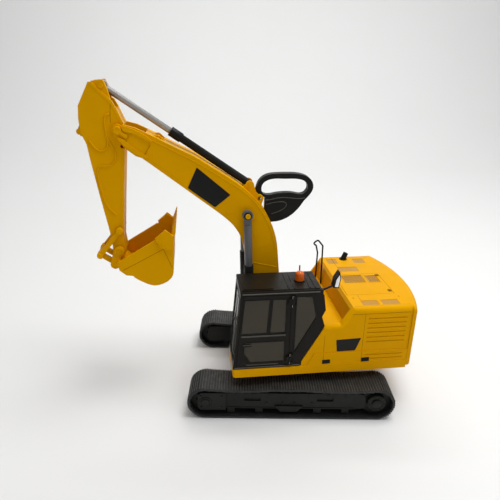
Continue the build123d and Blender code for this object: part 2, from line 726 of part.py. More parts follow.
# ---- boom ----
def boom_profile():
    with BuildSketch() as face:
        with BuildLine():
            Polyline((92, 314.5), (131, 339.5), (165, 356.5), (184, 366.5), (201, 374.6),
                     (215, 378.2), (228, 369), (226, 364), (214, 350.5), (202, 341), (194.7, 338.5),
                     (108.4, 271.8))
            Spline((108.4, 271.8), (77.5, 241.1), (63, 190), tangents=((-0.79, -0.61), (-0.2, -1)))
            Line((63, 190), (37.2, 106))
            ThreePointArc((37.2, 106), (25, 92), (12.9, 106))
            Line((12.9, 106), (22.9, 209.9))
            Spline((22.9, 209.9), (47.5, 275.6), (92, 314.5), tangents=((0.08, 1), (0.84, 0.54)))
        make_face()
        with Locations(STICK_PIN):
            Circle(7)
    return face.sketch


def boom_hollow():
    """Inside of the box section, behind the fork that takes the stick."""
    with BuildSketch() as face:
        with BuildLine():
            Polyline((95, 313.5), (131, 336.5), (165, 353.5), (186, 363.8), (186, 334.5),
                     (110, 275.5))
            Spline((110, 275.5), (76, 244.6), (60, 191), tangents=((-0.79, -0.61), (-0.2, -1)))
            Polyline((60, 191), (38, 120), (17, 120), (25.8, 209.6))
            Spline((25.8, 209.6), (50, 274), (95, 313.5), tangents=((0.08, 1), (0.84, 0.54)))
        make_face()
    return face.sketch


def add_boom_trim():
    """Raised casting plates beside the fork and bosses round the pins."""
    nose = outline((192, 343.5), (203, 345.5), (213, 354), (207, 367), (199, 369), (184, 359.5))
    for sign in (1, -1):
        outer = on_side(sign, BOOM_HALF_WIDTH - 1, BOOM_HALF_WIDTH + 0.6)
        plate(nose, *outer)
        drum(STICK_PIN, 6.6, *outer)
        drum(BOOM_CYLINDER_PIN, 11.5, *outer)


def make_boom_shells():
    with BuildPart() as boom:
        plate(boom_profile(), BOOM_HALF_WIDTH, -BOOM_HALF_WIDTH)
        add_boom_trim()
        plate(boom_hollow(), BOOM_HALF_WIDTH - WALL, WALL - BOOM_HALF_WIDTH, Mode.SUBTRACT)
        slot = outline((188.5, 300), (250, 300), (250, 400), (188.5, 400))
        plate(slot, STICK_HALF_WIDTH + 0.5, -STICK_HALF_WIDTH - 0.5, Mode.SUBTRACT)
        drum(BOOM_CYLINDER_PIN, 6, 17, -17)
        for place in BOOM_SCREWS:
            drum(place, 3, 17, -17)
            drum(place, 1.2, 8, -25, Mode.SUBTRACT)
            drum(place, 2.4, -BOOM_HALF_WIDTH + 1.6, -25, Mode.SUBTRACT)
        drum(BOOM_FOOT, 4 + RUNNING_FIT, 30, -30, Mode.SUBTRACT)
        drum(BOOM_CYLINDER_PIN, 3.3, 30, -30, Mode.SUBTRACT)
        drum(STICK_PIN, 3.5, 30, -30, Mode.SUBTRACT)
    with BuildPart() as left_half:
        add(boom.part)
        split(bisect_by=Plane.XZ, keep=Keep.BOTTOM)
    keep(left_half, "boom_shell_left")
    with BuildPart() as right_half:
        add(boom.part)
        split(bisect_by=Plane.XZ, keep=Keep.TOP)
    keep(right_half, "boom_shell_right")


def make_screws(name, places, half_width):
    """Pan-head screws that hold two half shells together, driven from the right."""
    with BuildPart() as screws:
        for place in places:
            drum(place, 1.2, 7.5, -half_width + 1.0)
            drum(place, 2.4, -half_width + 1.6, -half_width + 0.2)
            left = -half_width + 0.8
            x, z = place
            plate(outline((x - 1.9, z - 0.3), (x + 1.9, z - 0.3), (x + 1.9, z + 0.3),
                          (x - 1.9, z + 0.3)), left, left - 1, Mode.SUBTRACT)
    keep(screws, name)


def make_boom_pins():
    """Pins at the lift cylinders' eyes, the arm cylinder's foot and the boom's nose."""
    keeper_screw = (212.1, 365.1)
    with BuildPart() as pins:
        drum(BOOM_CYLINDER_PIN, 3.3, 32.4, -32.4)
        drum(ARM_CYLINDER_BASE, 2.4, 11.5, -11.5)
        drum(STICK_PIN, 3.5, 21.0, -21.0)
        for sign in (1, -1):
            outer = on_side(sign, 19.6, 21.2)
            drum(STICK_PIN, 5.0, *outer)
            plate(along(STICK_PIN, keeper_screw, 0, 11.5, 2.0), *outer)
            drum(keeper_screw, 2.6, *outer)
    keep(pins, "boom_pins")


def make_cylinder_bracket():
    ear = outline((76, 292), (66.2, 302.2), (56.4, 303.6), (52.6, 291), (49, 287.6),
                  (43.2, 280.6), (46, 272), (60, 285))
    with BuildPart() as bracket:
        for left, right in ((10.5, 7.0), (-7.0, -10.5)):
            plate(ear, left, right)
            drum(ARM_CYLINDER_BASE, 5.5, left, right)
            drum((48, 282.6), 5.2, left, right)
        plate(boom_profile(), 30, -30, Mode.SUBTRACT)
        drum(ARM_CYLINDER_BASE, 2.4, 12, -12, Mode.SUBTRACT)
        drum((48, 282.6), 2.6, 12, -12, Mode.SUBTRACT)
    keep(bracket, "arm_cylinder_bracket")


def make_carry_handle():
    with BuildSketch() as grip:
        with BuildLine():
            Spline((53, 286), (51.4, 297), (46.8, 306.4), (38, 312.2), (25, 314.1), (8, 314.2),
                   (-6, 313), (-16.5, 309.2), (-23.2, 302), (-24.5, 293.6), (-20.8, 285.6),
                   (-12.8, 276.5))
            Spline((-12.8, 276.5), (-5.5, 266), (3, 257.6), (13, 251.6), (26.9, 248.2))
            Polyline((26.9, 248.2), (42, 247), (50, 262), (53, 286))
        make_face()
        with BuildLine():
            Spline((45, 293.5), (42, 302), (34, 306.2), (14, 306.9), (-6, 305.9), (-14.8, 301.4),
                   (-17.2, 294), (-11.5, 286.6), (1.4, 287.5), (13.5, 288.2), (26, 287.2),
                   (36.5, 285.8), (42.8, 288), periodic=True)
        make_face(mode=Mode.SUBTRACT)
    with BuildPart() as handle:
        plate(grip.sketch, 5.5, -5.5)
        plate(boom_profile(), 30, -30, Mode.SUBTRACT)
        block((40, 70), (-12, 12), (262, 283), Mode.SUBTRACT)
        drum(ARM_CYLINDER_BASE, 6.4, 12, -12, Mode.SUBTRACT)
    keep(handle, "carry_handle")


def make_boom_pipe():
    with BuildPart() as pipe:
        for left in (9.0, -9.0):
            with BuildLine() as path:
                FilletPolyline((190, left, 361), (184, left, 363.8), (174, left, 363.8),
                               (168.6, left, 358.5), (167.5, left, 350), radius=3)
            with BuildSketch(Plane(origin=(190, left, 361), z_dir=(-6, 0, 2.8))) as bore:
                Circle(1.3)
            sweep(bore.sketch, path=path.line)
        plate(boom_profile(), 30, -30, Mode.SUBTRACT)
    keep(pipe, "boom_pipes")


# ---- hydraulic cylinders ----
def make_boom_cylinder(sign, tag):
    middle = sign * CYLINDER_LEFT
    pin, base = BOOM_CYLINDER_PIN, BOOM_CYLINDER_BASE
    length = hypot(base[0] - pin[0], base[1] - pin[1])
    mouth = 70.0
    with BuildPart() as rod:
        drum(pin, 7.0, middle + 3.0, middle - 3.0)
        tube(pin, base, 4, 112, 5.3, middle)
        block((30, 100), (middle - 20, middle - 3.2), (252, 280), Mode.SUBTRACT)
        block((30, 100), (middle + 3.2, middle + 20), (252, 280), Mode.SUBTRACT)
        drum(pin, 3.3 + RUNNING_FIT, 50, -50, Mode.SUBTRACT)
    keep(rod, f"boom_rod_{tag}")
    with BuildPart() as barrel:
        tube(pin, base, mouth, length - 8.0, 6.5, middle)
        tube(pin, base, mouth - 1, length - 16.0, 5.3 + RUNNING_FIT, middle, Mode.SUBTRACT)
        tube(pin, base, length - 12.0, length - 4.0, 3.5, middle)
        drum(base, 7.2, middle + 3.5, middle - 3.5)
        drum(base, 2.6 + BASE_EYE_CLEARANCE, 50, -50, Mode.SUBTRACT)
    keep(barrel, f"boom_barrel_{tag}")


def make_arm_cylinder():
    base, pin = ARM_CYLINDER_BASE, ARM_CYLINDER_PIN
    length = hypot(pin[0] - base[0], pin[1] - base[1])
    mouth = 120.0
    gland = 104.0
    with BuildPart() as barrel:
        drum(base, 4.4, 4.6, -4.6)
        tube(base, pin, 2, gland, 4.9, 0)
        drum(base, 12, 20, 4.6, Mode.SUBTRACT)
        drum(base, 12, -4.6, -20, Mode.SUBTRACT)
        drum(base, 2.4 + RUNNING_FIT, 20, -20, Mode.SUBTRACT)
        tube(base, pin, gland, mouth, 6.1, 0)
        tube(base, pin, 24, mouth + 5, 3.9 + RUNNING_FIT, 0, Mode.SUBTRACT)
    keep(barrel, "arm_barrel")
    with BuildPart() as rod:
        tube(base, pin, 62, length - 4.0, 3.9, 0)
        drum(pin, 6.6, 4.4, -4.4)
        drum(pin, 2.2 + HEAD_EYE_CLEARANCE, 20, -20, Mode.SUBTRACT)
    keep(rod, "arm_rod")


# ---- stick ----
def stick_profile():
    with BuildSketch() as face:
        with BuildLine():
            Polyline((250.4, 425.4), (246, 425.2), (225.6, 404.6), (222.2, 398.2), (213.6, 377.9),
                     (215.4, 343), (221.1, 285.4), (225.6, 233), (224, 217), (240, 217),
                     (240.8, 234.3), (243, 250), (249.4, 288.1), (256.7, 336.1), (259, 354.6),
                     (264.8, 369), (265.3, 384.5), (264.1, 399.3), close=True)
        make_face()
        with Locations(BUCKET_PIN):
            Circle(8)
    return face.sketch


def stick_hollow():
    return outline((247, 418), (230, 401), (225.5, 394), (217, 378), (218.5, 343), (224, 285),
                   (228, 262), (241, 262), (246.6, 288), (253.8, 336), (256, 354.6), (261.5, 369),
                   (262, 384.5), (260.8, 398))


def add_stick_head():
    """Two cheeks inside the open top, which hold the arm cylinder's pin."""
    cheek = outline((249, 424), (247, 426.5), (234, 428), (230.5, 419), (227.5, 406), (232, 398),
                    (249, 415))
    for left, right in ((12.1, 5.2), (-5.2, -12.1)):
        plate(cheek, left, right)


def add_stick_lug():
    """Lug on the front for a bucket cylinder, with its cross pin."""
    lug = outline((260, 376), (265, 379), (268, 372), (266, 364), (260, 362))
    for left, right in ((10.0, 6.0), (-6.0, -10.0)):
        plate(lug, left, right)
    drum((266.4, 369.3), 3.6, 12, -12)


def make_stick_shells():
    half = STICK_HALF_WIDTH
    with BuildPart() as stick:
        plate(stick_profile(), half, -half)
        plate(stick_hollow(), half - WALL, WALL - half, Mode.SUBTRACT)
        # open top behind the head, where the arm cylinder comes in
        plate(outline((262, 440), (251, 415), (232, 396), (205, 396), (205, 440)), 10.2, -10.2,
              Mode.SUBTRACT)
        add_stick_head()
        add_stick_lug()
        drum(STICK_PIN, 7, half - 1, 1 - half)
        for place in STICK_SCREWS:
            drum(place, 3, half - 1, 1 - half)
            drum(place, 1.2, 8, -25, Mode.SUBTRACT)
            drum(place, 2.4, -half + 1.6, -25, Mode.SUBTRACT)
        drum(STICK_PIN, 3.5 + RUNNING_FIT, 30, -30, Mode.SUBTRACT)
        drum(BUCKET_PIN, 3.0 + RUNNING_FIT, 30, -30, Mode.SUBTRACT)
        drum(ROCKER_PIN, 2.4, 30, -30, Mode.SUBTRACT)
        drum(ARM_CYLINDER_PIN, 2.2, 30, -30, Mode.SUBTRACT)
        drum((217.3, 351.9), 2.6, 30, -30, Mode.SUBTRACT)
    with BuildPart() as left_half:
        add(stick.part)
        split(bisect_by=Plane.XZ, keep=Keep.BOTTOM)
    keep(left_half, "stick_shell_left")
    with BuildPart() as right_half:
        add(stick.part)
        split(bisect_by=Plane.XZ, keep=Keep.TOP)
    keep(right_half, "stick_shell_right")


def make_stick_pins():
    """Pins of the arm cylinder's rod and of the rocker arms, with their heads."""
    with BuildPart() as pins:
        drum(ARM_CYLINDER_PIN, 2.2, 13.4, -13.4)
        drum(ROCKER_PIN, 2.4, 20.4, -20.4)
        for sign in (1, -1):
            drum(ARM_CYLINDER_PIN, 2.9, *on_side(sign, 12.1, 13.4))
            drum(ROCKER_PIN, 3.8, *on_side(sign, 19.1, 20.4))
    keep(pins, "stick_pins")


# ---- bucket and its linkage ----
def bucket_profile():
    with BuildSketch() as face:
        with BuildLine():
            Polyline((222.7, 190.6), (231, 197.6), (233.2, 207), (182.9, 237.6), (170.5, 250),
                     (166, 246.5), (160.4, 243), (161.8, 206), (162.5, 195.5))
            Spline((162.5, 195.5), (169, 181.5), (187, 174.8), (203.5, 181), (213.5, 188),
                   (222.7, 190.6), tangents=((0.05, -1), (1, 0.1)))
        make_face()
    return face.sketch


def bucket_room():
    """The space inside the bucket, one plate thickness in and open at the mouth."""
    with BuildSketch() as face:
        with BuildLine():
            Polyline((221.3, 192.9), (229, 199.2), (231.0, 207), (231.2, 208.8), (183.3, 238.9),
                     (171.2, 252), (163, 252), (164, 206), (164.7, 196))
            Spline((164.7, 196), (170.6, 183.6), (187, 177.2), (202.4, 183.2), (212.6, 190.2),
                   (221.3, 192.9), tangents=((0.05, -1), (1, 0.1)))
        make_face()
    return face.sketch


def make_bucket():
    """Welded bucket: shell, ears, teeth and side cutters."""
    half = BUCKET_HALF_WIDTH
    edge = 2.2
    ear = outline((225.5, 213), (228, 222.8), (238.7, 219.5), (244.6, 200), (240, 193.5),
                  (230, 194.5), (223, 189.5), (214, 188), (218, 200))
    tooth = outline((163, 241), (160.4, 241), (158.4, 243.5), (156.3, 261.4), (157.2, 261.6),
                    (161.9, 249), (163, 246))
    cutter = outline((183.8, 238.4), (171, 252), (167.6, 249.2), (161, 243.4), (162, 224),
                     (172, 225.5), (178, 229))
    with BuildPart() as bucket:
        plate(bucket_profile(), half, -half)
        for left, right in EARS:
            plate(ear, left, right)
            drum(BUCKET_PIN, 7.0, left, right)
            drum(BUCKET_LINK_PIN, 6.0, left, right)
        plate(bucket_room(), half - edge, edge - half, Mode.SUBTRACT)
        for y in (-28.8, -14.4, 0, 14.4, 28.8):
            plate(tooth, y + 3.4, y - 3.4)
        for sign in (1, -1):
            plate(cutter, *on_side(sign, half - 0.5, half + 2.4))
        drum(BUCKET_PIN, 3.0, 30, -30, Mode.SUBTRACT)
        drum(BUCKET_LINK_PIN, 2.2, 30, -30, Mode.SUBTRACT)
    keep(bucket, "bucket_shell")
    with BuildPart() as pins:
        drum(BUCKET_PIN, 3.0, 20, -20)
        drum(BUCKET_LINK_PIN, 2.2, 20, -20)
    keep(pins, "bucket_pins")


def make_linkage():
    outer = (15.1, 18.9)
    with BuildPart() as rockers:
        for sign in (1, -1):
            span = on_side(sign, *outer)
            plate(along(ROCKER_PIN, KNEE_PIN, 0, 42.6, 3.0), *span)
            drum(ROCKER_PIN, 4.8, *span)
            drum(KNEE_PIN, 4.2, *span)
        drum(ROCKER_PIN, 2.4 + RUNNING_FIT, 30, -30, Mode.SUBTRACT)
        drum(KNEE_PIN, 2.2, 30, -30, Mode.SUBTRACT)
    keep(rockers, "rocker_arms")


def make_bucket_link():
    with BuildPart() as link:
        for sign in (1, -1):
            span = on_side(sign, 10.0, 14.4)
            plate(along(KNEE_PIN, BUCKET_LINK_PIN, 0, 22.2, 3.2), *span)
            drum(KNEE_PIN, 4.4, *span)
            drum(BUCKET_LINK_PIN, 5.0, *span)
        drum(KNEE_PIN, 3.4 + 0.3, 10, -10)
        drum(KNEE_PIN, 2.2 + RUNNING_FIT, 30, -30, Mode.SUBTRACT)
        drum(BUCKET_LINK_PIN, 2.2 + LINK_EYE_CLEARANCE, 30, -30, Mode.SUBTRACT)
    keep(link, "bucket_link")
    with BuildPart() as knee_pin:
        drum(KNEE_PIN, 2.2, 20, -20)
    keep(knee_pin, "knee_pin")


os.makedirs("parts", exist_ok=True)

for track_sign, track_tag in ((1, "left"), (-1, "right")):
    make_track_belt(track_sign, f"track_belt_{track_tag}")
    make_track_frame(track_sign, f"track_frame_{track_tag}")
    make_wheel(track_sign, WHEEL_X, f"idler_{track_tag}", 0)
    make_wheel(track_sign, -WHEEL_X, f"drive_wheel_{track_tag}", 5.5)
    make_boom_cylinder(track_sign, track_tag)
make_rollers()
make_axles()
make_car_body()
make_turntable()
make_slew_retainer()
make_body_housing()
make_roof_vents()
make_counterweight()
make_engine_hood()
make_hood_grilles()
make_engine_block()
make_right_tank()
make_boom_bracket()
make_base_pins()
make_handrail()
make_exhaust()
make_cab_frame()
make_cab_glass()
make_cab_roof()
make_beacon()
make_mirror()
make_door()
make_hinge_pins()
make_seat()
make_boom_shells()
make_screws("boom_screws", BOOM_SCREWS, BOOM_HALF_WIDTH)
make_boom_pins()
make_cylinder_bracket()
make_carry_handle()
make_boom_pipe()
make_arm_cylinder()
make_stick_shells()
make_screws("stick_screws", STICK_SCREWS, STICK_HALF_WIDTH)
make_stick_pins()
make_bucket()
make_linkage()
make_bucket_link()
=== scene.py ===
from math import cos, pi, radians, sin
import json

import bmesh
import bpy
from mathutils import Matrix, Vector


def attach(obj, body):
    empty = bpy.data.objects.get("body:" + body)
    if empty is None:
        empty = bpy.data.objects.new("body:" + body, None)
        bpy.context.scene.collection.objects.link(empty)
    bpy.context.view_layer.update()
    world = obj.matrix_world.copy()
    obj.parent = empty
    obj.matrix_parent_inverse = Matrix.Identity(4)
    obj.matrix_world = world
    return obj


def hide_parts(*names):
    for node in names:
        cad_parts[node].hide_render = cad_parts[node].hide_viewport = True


MM = 0.001
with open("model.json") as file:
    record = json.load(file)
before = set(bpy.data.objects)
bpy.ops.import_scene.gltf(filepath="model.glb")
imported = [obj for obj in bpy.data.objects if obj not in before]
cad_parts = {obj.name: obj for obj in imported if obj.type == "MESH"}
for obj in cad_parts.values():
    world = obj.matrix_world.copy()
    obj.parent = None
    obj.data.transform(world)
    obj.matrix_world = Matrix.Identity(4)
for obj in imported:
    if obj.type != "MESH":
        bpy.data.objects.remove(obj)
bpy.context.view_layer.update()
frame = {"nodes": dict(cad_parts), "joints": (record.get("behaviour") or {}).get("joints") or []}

# ---- sizes shared with the CAD (mm, degrees) ----
SLEW_REST = 6.87
BAND_OUTER = 23.3
BAND_INNER = 20.8
SHOE_WIDTH = 45.0
SHOE_COUNT = 56
CARRIER_X = (-17.0, 24.0)
DECK_TOP = 73.0
BODY_SIDE = 88.5
BAND_STEP = 0.6
HOOD_TOP = 155.0
LOUVRE_HEIGHTS = (104, 111, 118, 125, 132, 139)
CAB_LEFT = 88.5
CAB_TOP = 183.0
CAB_FRONT_LOW = 90.0
CAB_FRONT_LEAN = 9.6
BOOM_SIDE = 19.0
STICK_SIDE = 14.5
BUCKET_SIDE = 36.0
VENTS = (
    ((-105, -82.5), (66.5, 80)),
    ((-133.5, -110), (66.5, 80)),
    ((-89.5, -74), (-75, -57)),
    ((-134, -115.5), (-74, -56)),
    ((-113, -84), (-43, -26.5)),
)
HOOD_GRILLES = (((-110, -79), (-12, 12)), ((-131.5, -114.5), (-9, 13)))

TURN = Matrix.Rotation(radians(SLEW_REST), 4, "Z")


def joint_place(name):
    """A point on a joint's axis, in mm."""
    joint = next(joint for joint in frame["joints"] if joint["name"] == name)
    return Vector(joint["pos_m"]) / MM


def pivot(name):
    """Forward and height of an upper joint's axis, in mm, before the slew."""
    where = TURN.inverted() @ joint_place(name)
    return round(where.x, 1), round(where.z, 1)


WHEEL_X, TRACK_Y, END_RADIUS = (round(value, 1) for value in joint_place("idle_left_spin"))
BOOM_CYLINDER_PIN = pivot("lift_rod_left_tilt")
STICK_PIN = pivot("stick_swing")
BUCKET_PIN = pivot("bucket_curl")
ROCKER_PIN = pivot("rocker_swing")
KNEE_PIN = pivot("link_swing")


# ---- materials ----
def new_material(name):
    """A node material with a Principled shader; returns it with its tree and shader."""
    material = bpy.data.materials.new(name)
    material.use_nodes = True
    tree = material.node_tree
    return material, tree, tree.nodes["Principled BSDF"]


def noise(tree, scale, detail=3.0, stretch=(1, 1, 1)):
    """Noise in the object's own coordinates, at this many features per metre."""
    where = tree.nodes.new("ShaderNodeTexCoord")
    mapping = tree.nodes.new("ShaderNodeMapping")
    mapping.inputs["Scale"].default_value = stretch
    texture = tree.nodes.new("ShaderNodeTexNoise")
    texture.inputs["Scale"].default_value = scale
    texture.inputs["Detail"].default_value = detail
    tree.links.new(where.outputs["Object"], mapping.inputs["Vector"])
    tree.links.new(mapping.outputs["Vector"], texture.inputs["Vector"])
    return texture.outputs["Fac"]


def ramp(tree, value, stops):
    """Colour ramp over (position, colour) stops."""
    node = tree.nodes.new("ShaderNodeValToRGB")
    while len(node.color_ramp.elements) < len(stops):
        node.color_ramp.elements.new(0.5)
    for element, (position, colour) in zip(node.color_ramp.elements, stops):
        element.position = position
        element.color = (*colour, 1.0)
    tree.links.new(value, node.inputs["Fac"])
    return node.outputs["Color"]


def spread(tree, value, low, high):
    """Maps noise onto a range of roughness."""
    node = tree.nodes.new("ShaderNodeMapRange")
    node.inputs["From Min"].default_value = 0.3
    node.inputs["From Max"].default_value = 0.7
    node.inputs["To Min"].default_value = low
    node.inputs["To Max"].default_value = high
    tree.links.new(value, node.inputs["Value"])
    return node.outputs["Result"]


def bump(tree, shader, height, strength, distance):
    """Fine relief on the shader's normal; distance in metres."""
    node = tree.nodes.new("ShaderNodeBump")
    node.inputs["Strength"].default_value = strength
    node.inputs["Distance"].default_value = distance
    tree.links.new(height, node.inputs["Height"])
    tree.links.new(node.outputs["Normal"], shader.inputs["Normal"])


def shade(colour, factor):
    """The colour made darker or lighter by this factor."""
    return tuple(channel * factor for channel in colour)


def plastic(name, colour, rough, grain, variation=0.08, sheen=(1, 1, 1), gloss=0.3):
    """Moulded plastic: cloudy tone, patchy gloss and a fine spark-eroded grain."""
    material, tree, shader = new_material(name)
    cloud = noise(tree, 22, 4)
    tone = ramp(tree, cloud, (
        (0.30, shade(colour, 1 - variation)),
        (0.52, colour),
        (0.75, shade(colour, 1 + variation * 0.6)),
    ))
    tree.links.new(tone, shader.inputs["Base Color"])
    tree.links.new(spread(tree, noise(tree, 60, 5), rough - 0.06, rough + 0.08),
                   shader.inputs["Roughness"])
    bump(tree, shader, noise(tree, 2600, 2), grain, 0.00006)
    shader.inputs["Specular IOR Level"].default_value = gloss
    shader.inputs["Specular Tint"].default_value = (*sheen, 1.0)
    return material


def rubber(name, colour):
    """Track rubber: matt, with dust that settles in patches."""
    material, tree, shader = new_material(name)
    dust = noise(tree, 90, 6)
    tone = ramp(tree, dust, (
        (0.38, colour),
        (0.62, shade(colour, 1.5)),
        (0.85, shade(colour, 2.6)),
    ))
    tree.links.new(tone, shader.inputs["Base Color"])
    tree.links.new(spread(tree, noise(tree, 150, 4), 0.48, 0.72), shader.inputs["Roughness"])
    bump(tree, shader, noise(tree, 1500, 4), 0.35, 0.0002)
    return material


def metal(name, colour, rough, stretch):
    """Drawn or plated metal with fine marks across its length."""
    material, tree, shader = new_material(name)
    marks = noise(tree, 900, 4, stretch)
    tone = ramp(tree, marks, ((0.3, shade(colour, 0.8)), (0.7, shade(colour, 1.1))))
    tree.links.new(tone, shader.inputs["Base Color"])
    tree.links.new(spread(tree, marks, rough - 0.05, rough + 0.1), shader.inputs["Roughness"])
    bump(tree, shader, marks, 0.12, 0.00005)
    shader.inputs["Metallic"].default_value = 0.85
    return material


def clear(name, colour, opacity, rough):
    """Tinted see-through plastic with faint handling haze."""
    material, tree, shader = new_material(name)
    haze = noise(tree, 35, 5)
    tone = ramp(tree, haze, ((0.3, shade(colour, 0.85)), (0.7, shade(colour, 1.1))))
    tree.links.new(tone, shader.inputs["Base Color"])
    tree.links.new(spread(tree, haze, rough, rough + 0.1), shader.inputs["Roughness"])
    shader.inputs["Alpha"].default_value = opacity
    shader.inputs["Specular IOR Level"].default_value = 0.35
    return material


def perforated(name, colour, pitch):
    """Yellow grille plate: rows of small round holes in the slewed frame, each hole painted dark as
    painted shade inside it.
    """
    material, tree, shader = new_material(name)
    where = tree.nodes.new("ShaderNodeTexCoord")
    mapping = tree.nodes.new("ShaderNodeMapping")
    mapping.inputs["Rotation"].default_value = (0, 0, -radians(SLEW_REST))
    mapping.inputs["Scale"].default_value = (1, 1, 0)
    cells = tree.nodes.new("ShaderNodeTexVoronoi")
    cells.inputs["Scale"].default_value = 1 / (pitch * MM)
    cells.inputs["Randomness"].default_value = 0.0
    tree.links.new(where.outputs["Object"], mapping.inputs["Vector"])
    tree.links.new(mapping.outputs["Vector"], cells.inputs["Vector"])
    distance = cells.outputs["Distance"]
    # The cell centres are painted dark: painted shade inside the holes.
    tone = ramp(tree, distance, (
        (0.22, shade(colour, 0.22)),
        (0.36, shade(colour, 0.72)),
        (0.50, colour),
    ))
    tree.links.new(tone, shader.inputs["Base Color"])
    tree.links.new(spread(tree, noise(tree, 60, 3), 0.38, 0.52), shader.inputs["Roughness"])
    bump(tree, shader, distance, 0.6, 0.0004)
    return material


def studio_white(name, colour):
    """Seamless paper: near-white with the faintest mottle."""
    material, tree, shader = new_material(name)
    mottle = noise(tree, 2.5, 3)
    tone = ramp(tree, mottle, ((0.3, shade(colour, 0.99)), (0.7, colour)))
    tree.links.new(tone, shader.inputs["Base Color"])
    shader.inputs["Roughness"].default_value = 0.8
    bump(tree, shader, noise(tree, 400, 2), 0.03, 0.0002)
    return material


YELLOW_TONE = (0.70, 0.330, 0.0004)
GOLDEN = (1.0, 0.62, 0.06)
YELLOW = plastic("yellow_moulding", YELLOW_TONE, 0.42, 0.10, 0.05, GOLDEN, 0.06)
YELLOW_DARK = plastic("yellow_shadow_line", (0.24, 0.098, 0.001), 0.55, 0.10, 0.08, GOLDEN)
BLACK = plastic("black_moulding", (0.0080, 0.0077, 0.0065), 0.40, 0.25, 0.25, gloss=0.15)
CAB_BLACK = plastic("cab_moulding", (0.0098, 0.0082, 0.0055), 0.38, 0.20, 0.25, gloss=0.13)
# Light grey for the cab's rails, gutters, sill and the handle's raised lines: painted highlight
# along the edges of black parts.
CAB_TRIM_HIGHLIGHT = plastic("cab_trim_painted_highlight", (0.070, 0.064, 0.052), 0.34, 0.15, 0.15)
CHASSIS = plastic("chassis_moulding", (0.0125, 0.0128, 0.0105), 0.42, 0.25, 0.3, gloss=0.18)
GREY = plastic("cylinder_grey", (0.100, 0.102, 0.107), 0.33, 0.10, 0.08)
DECAL = plastic("decal_black", (0.0085, 0.0085, 0.0080), 0.34, 0.05, 0.15, gloss=0.15)
SEAT = plastic("seat_black", (0.020, 0.020, 0.022), 0.6, 0.45, 0.25)
RUBBER = rubber("track_rubber", (0.0085, 0.0088, 0.0085))
# Lighter rubber on the cleat tops and edge lugs: a painted highlight, with the same dust as the
# belt.
RUBBER_HIGHLIGHT = rubber("track_rubber_painted_highlight", (0.032, 0.031, 0.026))
ROD = metal("arm_rod_metal", (0.36, 0.345, 0.33), 0.36, (1, 1, 12))
STEEL = metal("plated_steel", (0.55, 0.54, 0.52), 0.3, (1, 1, 6))
SILVER = metal("mirror_silver", (0.85, 0.85, 0.86), 0.14, (1, 1, 1))
PANE = clear("smoked_pane", (0.036, 0.028, 0.013), 0.95, 0.14)
LENS = clear("orange_lens_plastic", (0.72, 0.13, 0.008), 0.92, 0.16)
GRILLE = perforated("yellow_grille", shade(YELLOW_TONE, 0.9), 1.7)
PAPER = studio_white("studio_paper", (0.80, 0.80, 0.79))

NODE_MATERIALS = {
    YELLOW: (
        "body_housing", "counterweight", "engine_hood", "right_tank", "turntable_deck",
        "boom_shell_left", "boom_shell_right", "stick_shell_left", "stick_shell_right",
        "arm_cylinder_bracket", "boom_pipes", "boom_pins", "boom_screws", "stick_pins",
        "stick_screws", "bucket_shell", "bucket_pins", "rocker_arms", "bucket_link",
        "knee_pin", "boom_bracket",
    ),
    CAB_BLACK: ("cab_frame", "cab_roof", "door_frame"),
    BLACK: (
        "handrail", "exhaust_stub", "mirror_bracket", "carry_handle", "arm_barrel",
        "boom_barrel_left", "boom_barrel_right", "control_levers",
    ),
    SEAT: ("operator_seat",),
    CHASSIS: (
        "car_body", "track_frame_left", "track_frame_right", "track_rollers", "engine_block",
        "slew_retainer", "idler_left", "idler_right", "drive_wheel_left", "drive_wheel_right",
        "track_axles",
    ),
    GREY: ("boom_rod_left", "boom_rod_right"),
    ROD: ("arm_rod",),
    STEEL: ("slew_screw", "base_pins", "hinge_pins"),
    SILVER: ("mirror_glass",),
    PANE: ("windshield", "cab_windows", "door_glass"),
    LENS: ("beacon_lens",),
    GRILLE: ("hood_grilles",),
}

SOFT_EDGES = {
    0.9: ("body_housing", "counterweight", "right_tank", "cab_roof", "carry_handle"),
    0.5: (
        "turntable_deck", "cab_frame", "boom_shell_left", "boom_shell_right",
        "stick_shell_left", "stick_shell_right", "engine_hood", "bucket_shell",
        "track_frame_left", "track_frame_right", "car_body", "arm_barrel", "boom_bracket",
        "door_frame", "arm_cylinder_bracket", "operator_seat", "engine_block",
        "boom_barrel_left", "boom_barrel_right", "boom_rod_left", "boom_rod_right",
        "arm_rod", "rocker_arms", "bucket_link", "mirror_bracket",
    ),
    0.25: (
        "drive_wheel_left", "drive_wheel_right", "idler_left", "idler_right", "track_axles",
        "boom_pins", "stick_pins", "bucket_pins", "knee_pin", "track_rollers", "exhaust_stub",
        "control_levers",
    ),
}


def round_edges(piece, width):
    """Welded, rounded edges with clean normals; width in mm."""
    weld = piece.modifiers.new("weld", "WELD")
    weld.merge_threshold = 0.00001
    bevel = piece.modifiers.new("edges", "BEVEL")
    bevel.width = width * MM
    bevel.segments = 2
    bevel.limit_method = "ANGLE"
    bevel.angle_limit = radians(38)
    bevel.harden_normals = True
    bevel.use_clamp_overlap = True


def dress_cad_nodes():
    """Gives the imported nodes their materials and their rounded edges."""
    for material, nodes in NODE_MATERIALS.items():
        for name in nodes:
            piece = frame["nodes"][name]
            piece.data.materials.clear()
            piece.data.materials.append(material)
    for width, nodes in SOFT_EDGES.items():
        for name in nodes:
            round_edges(frame["nodes"][name], width)


# ---- mesh helpers: side profiles are (forward, height) in mm, before the slew ----
def place(forward, left, height):
    """A point in metres from mm."""
    return Vector((forward, left, height)) * MM


def make_piece(name, mesh, material, body, slewed=True):
    """Puts a finished mesh in the scene and on its body."""
    if slewed:
        mesh.transform(TURN)
    mesh.materials.append(material)
    piece = bpy.data.objects.new(name, mesh)
    bpy.context.scene.collection.objects.link(piece)
    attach(piece, body)
    return piece


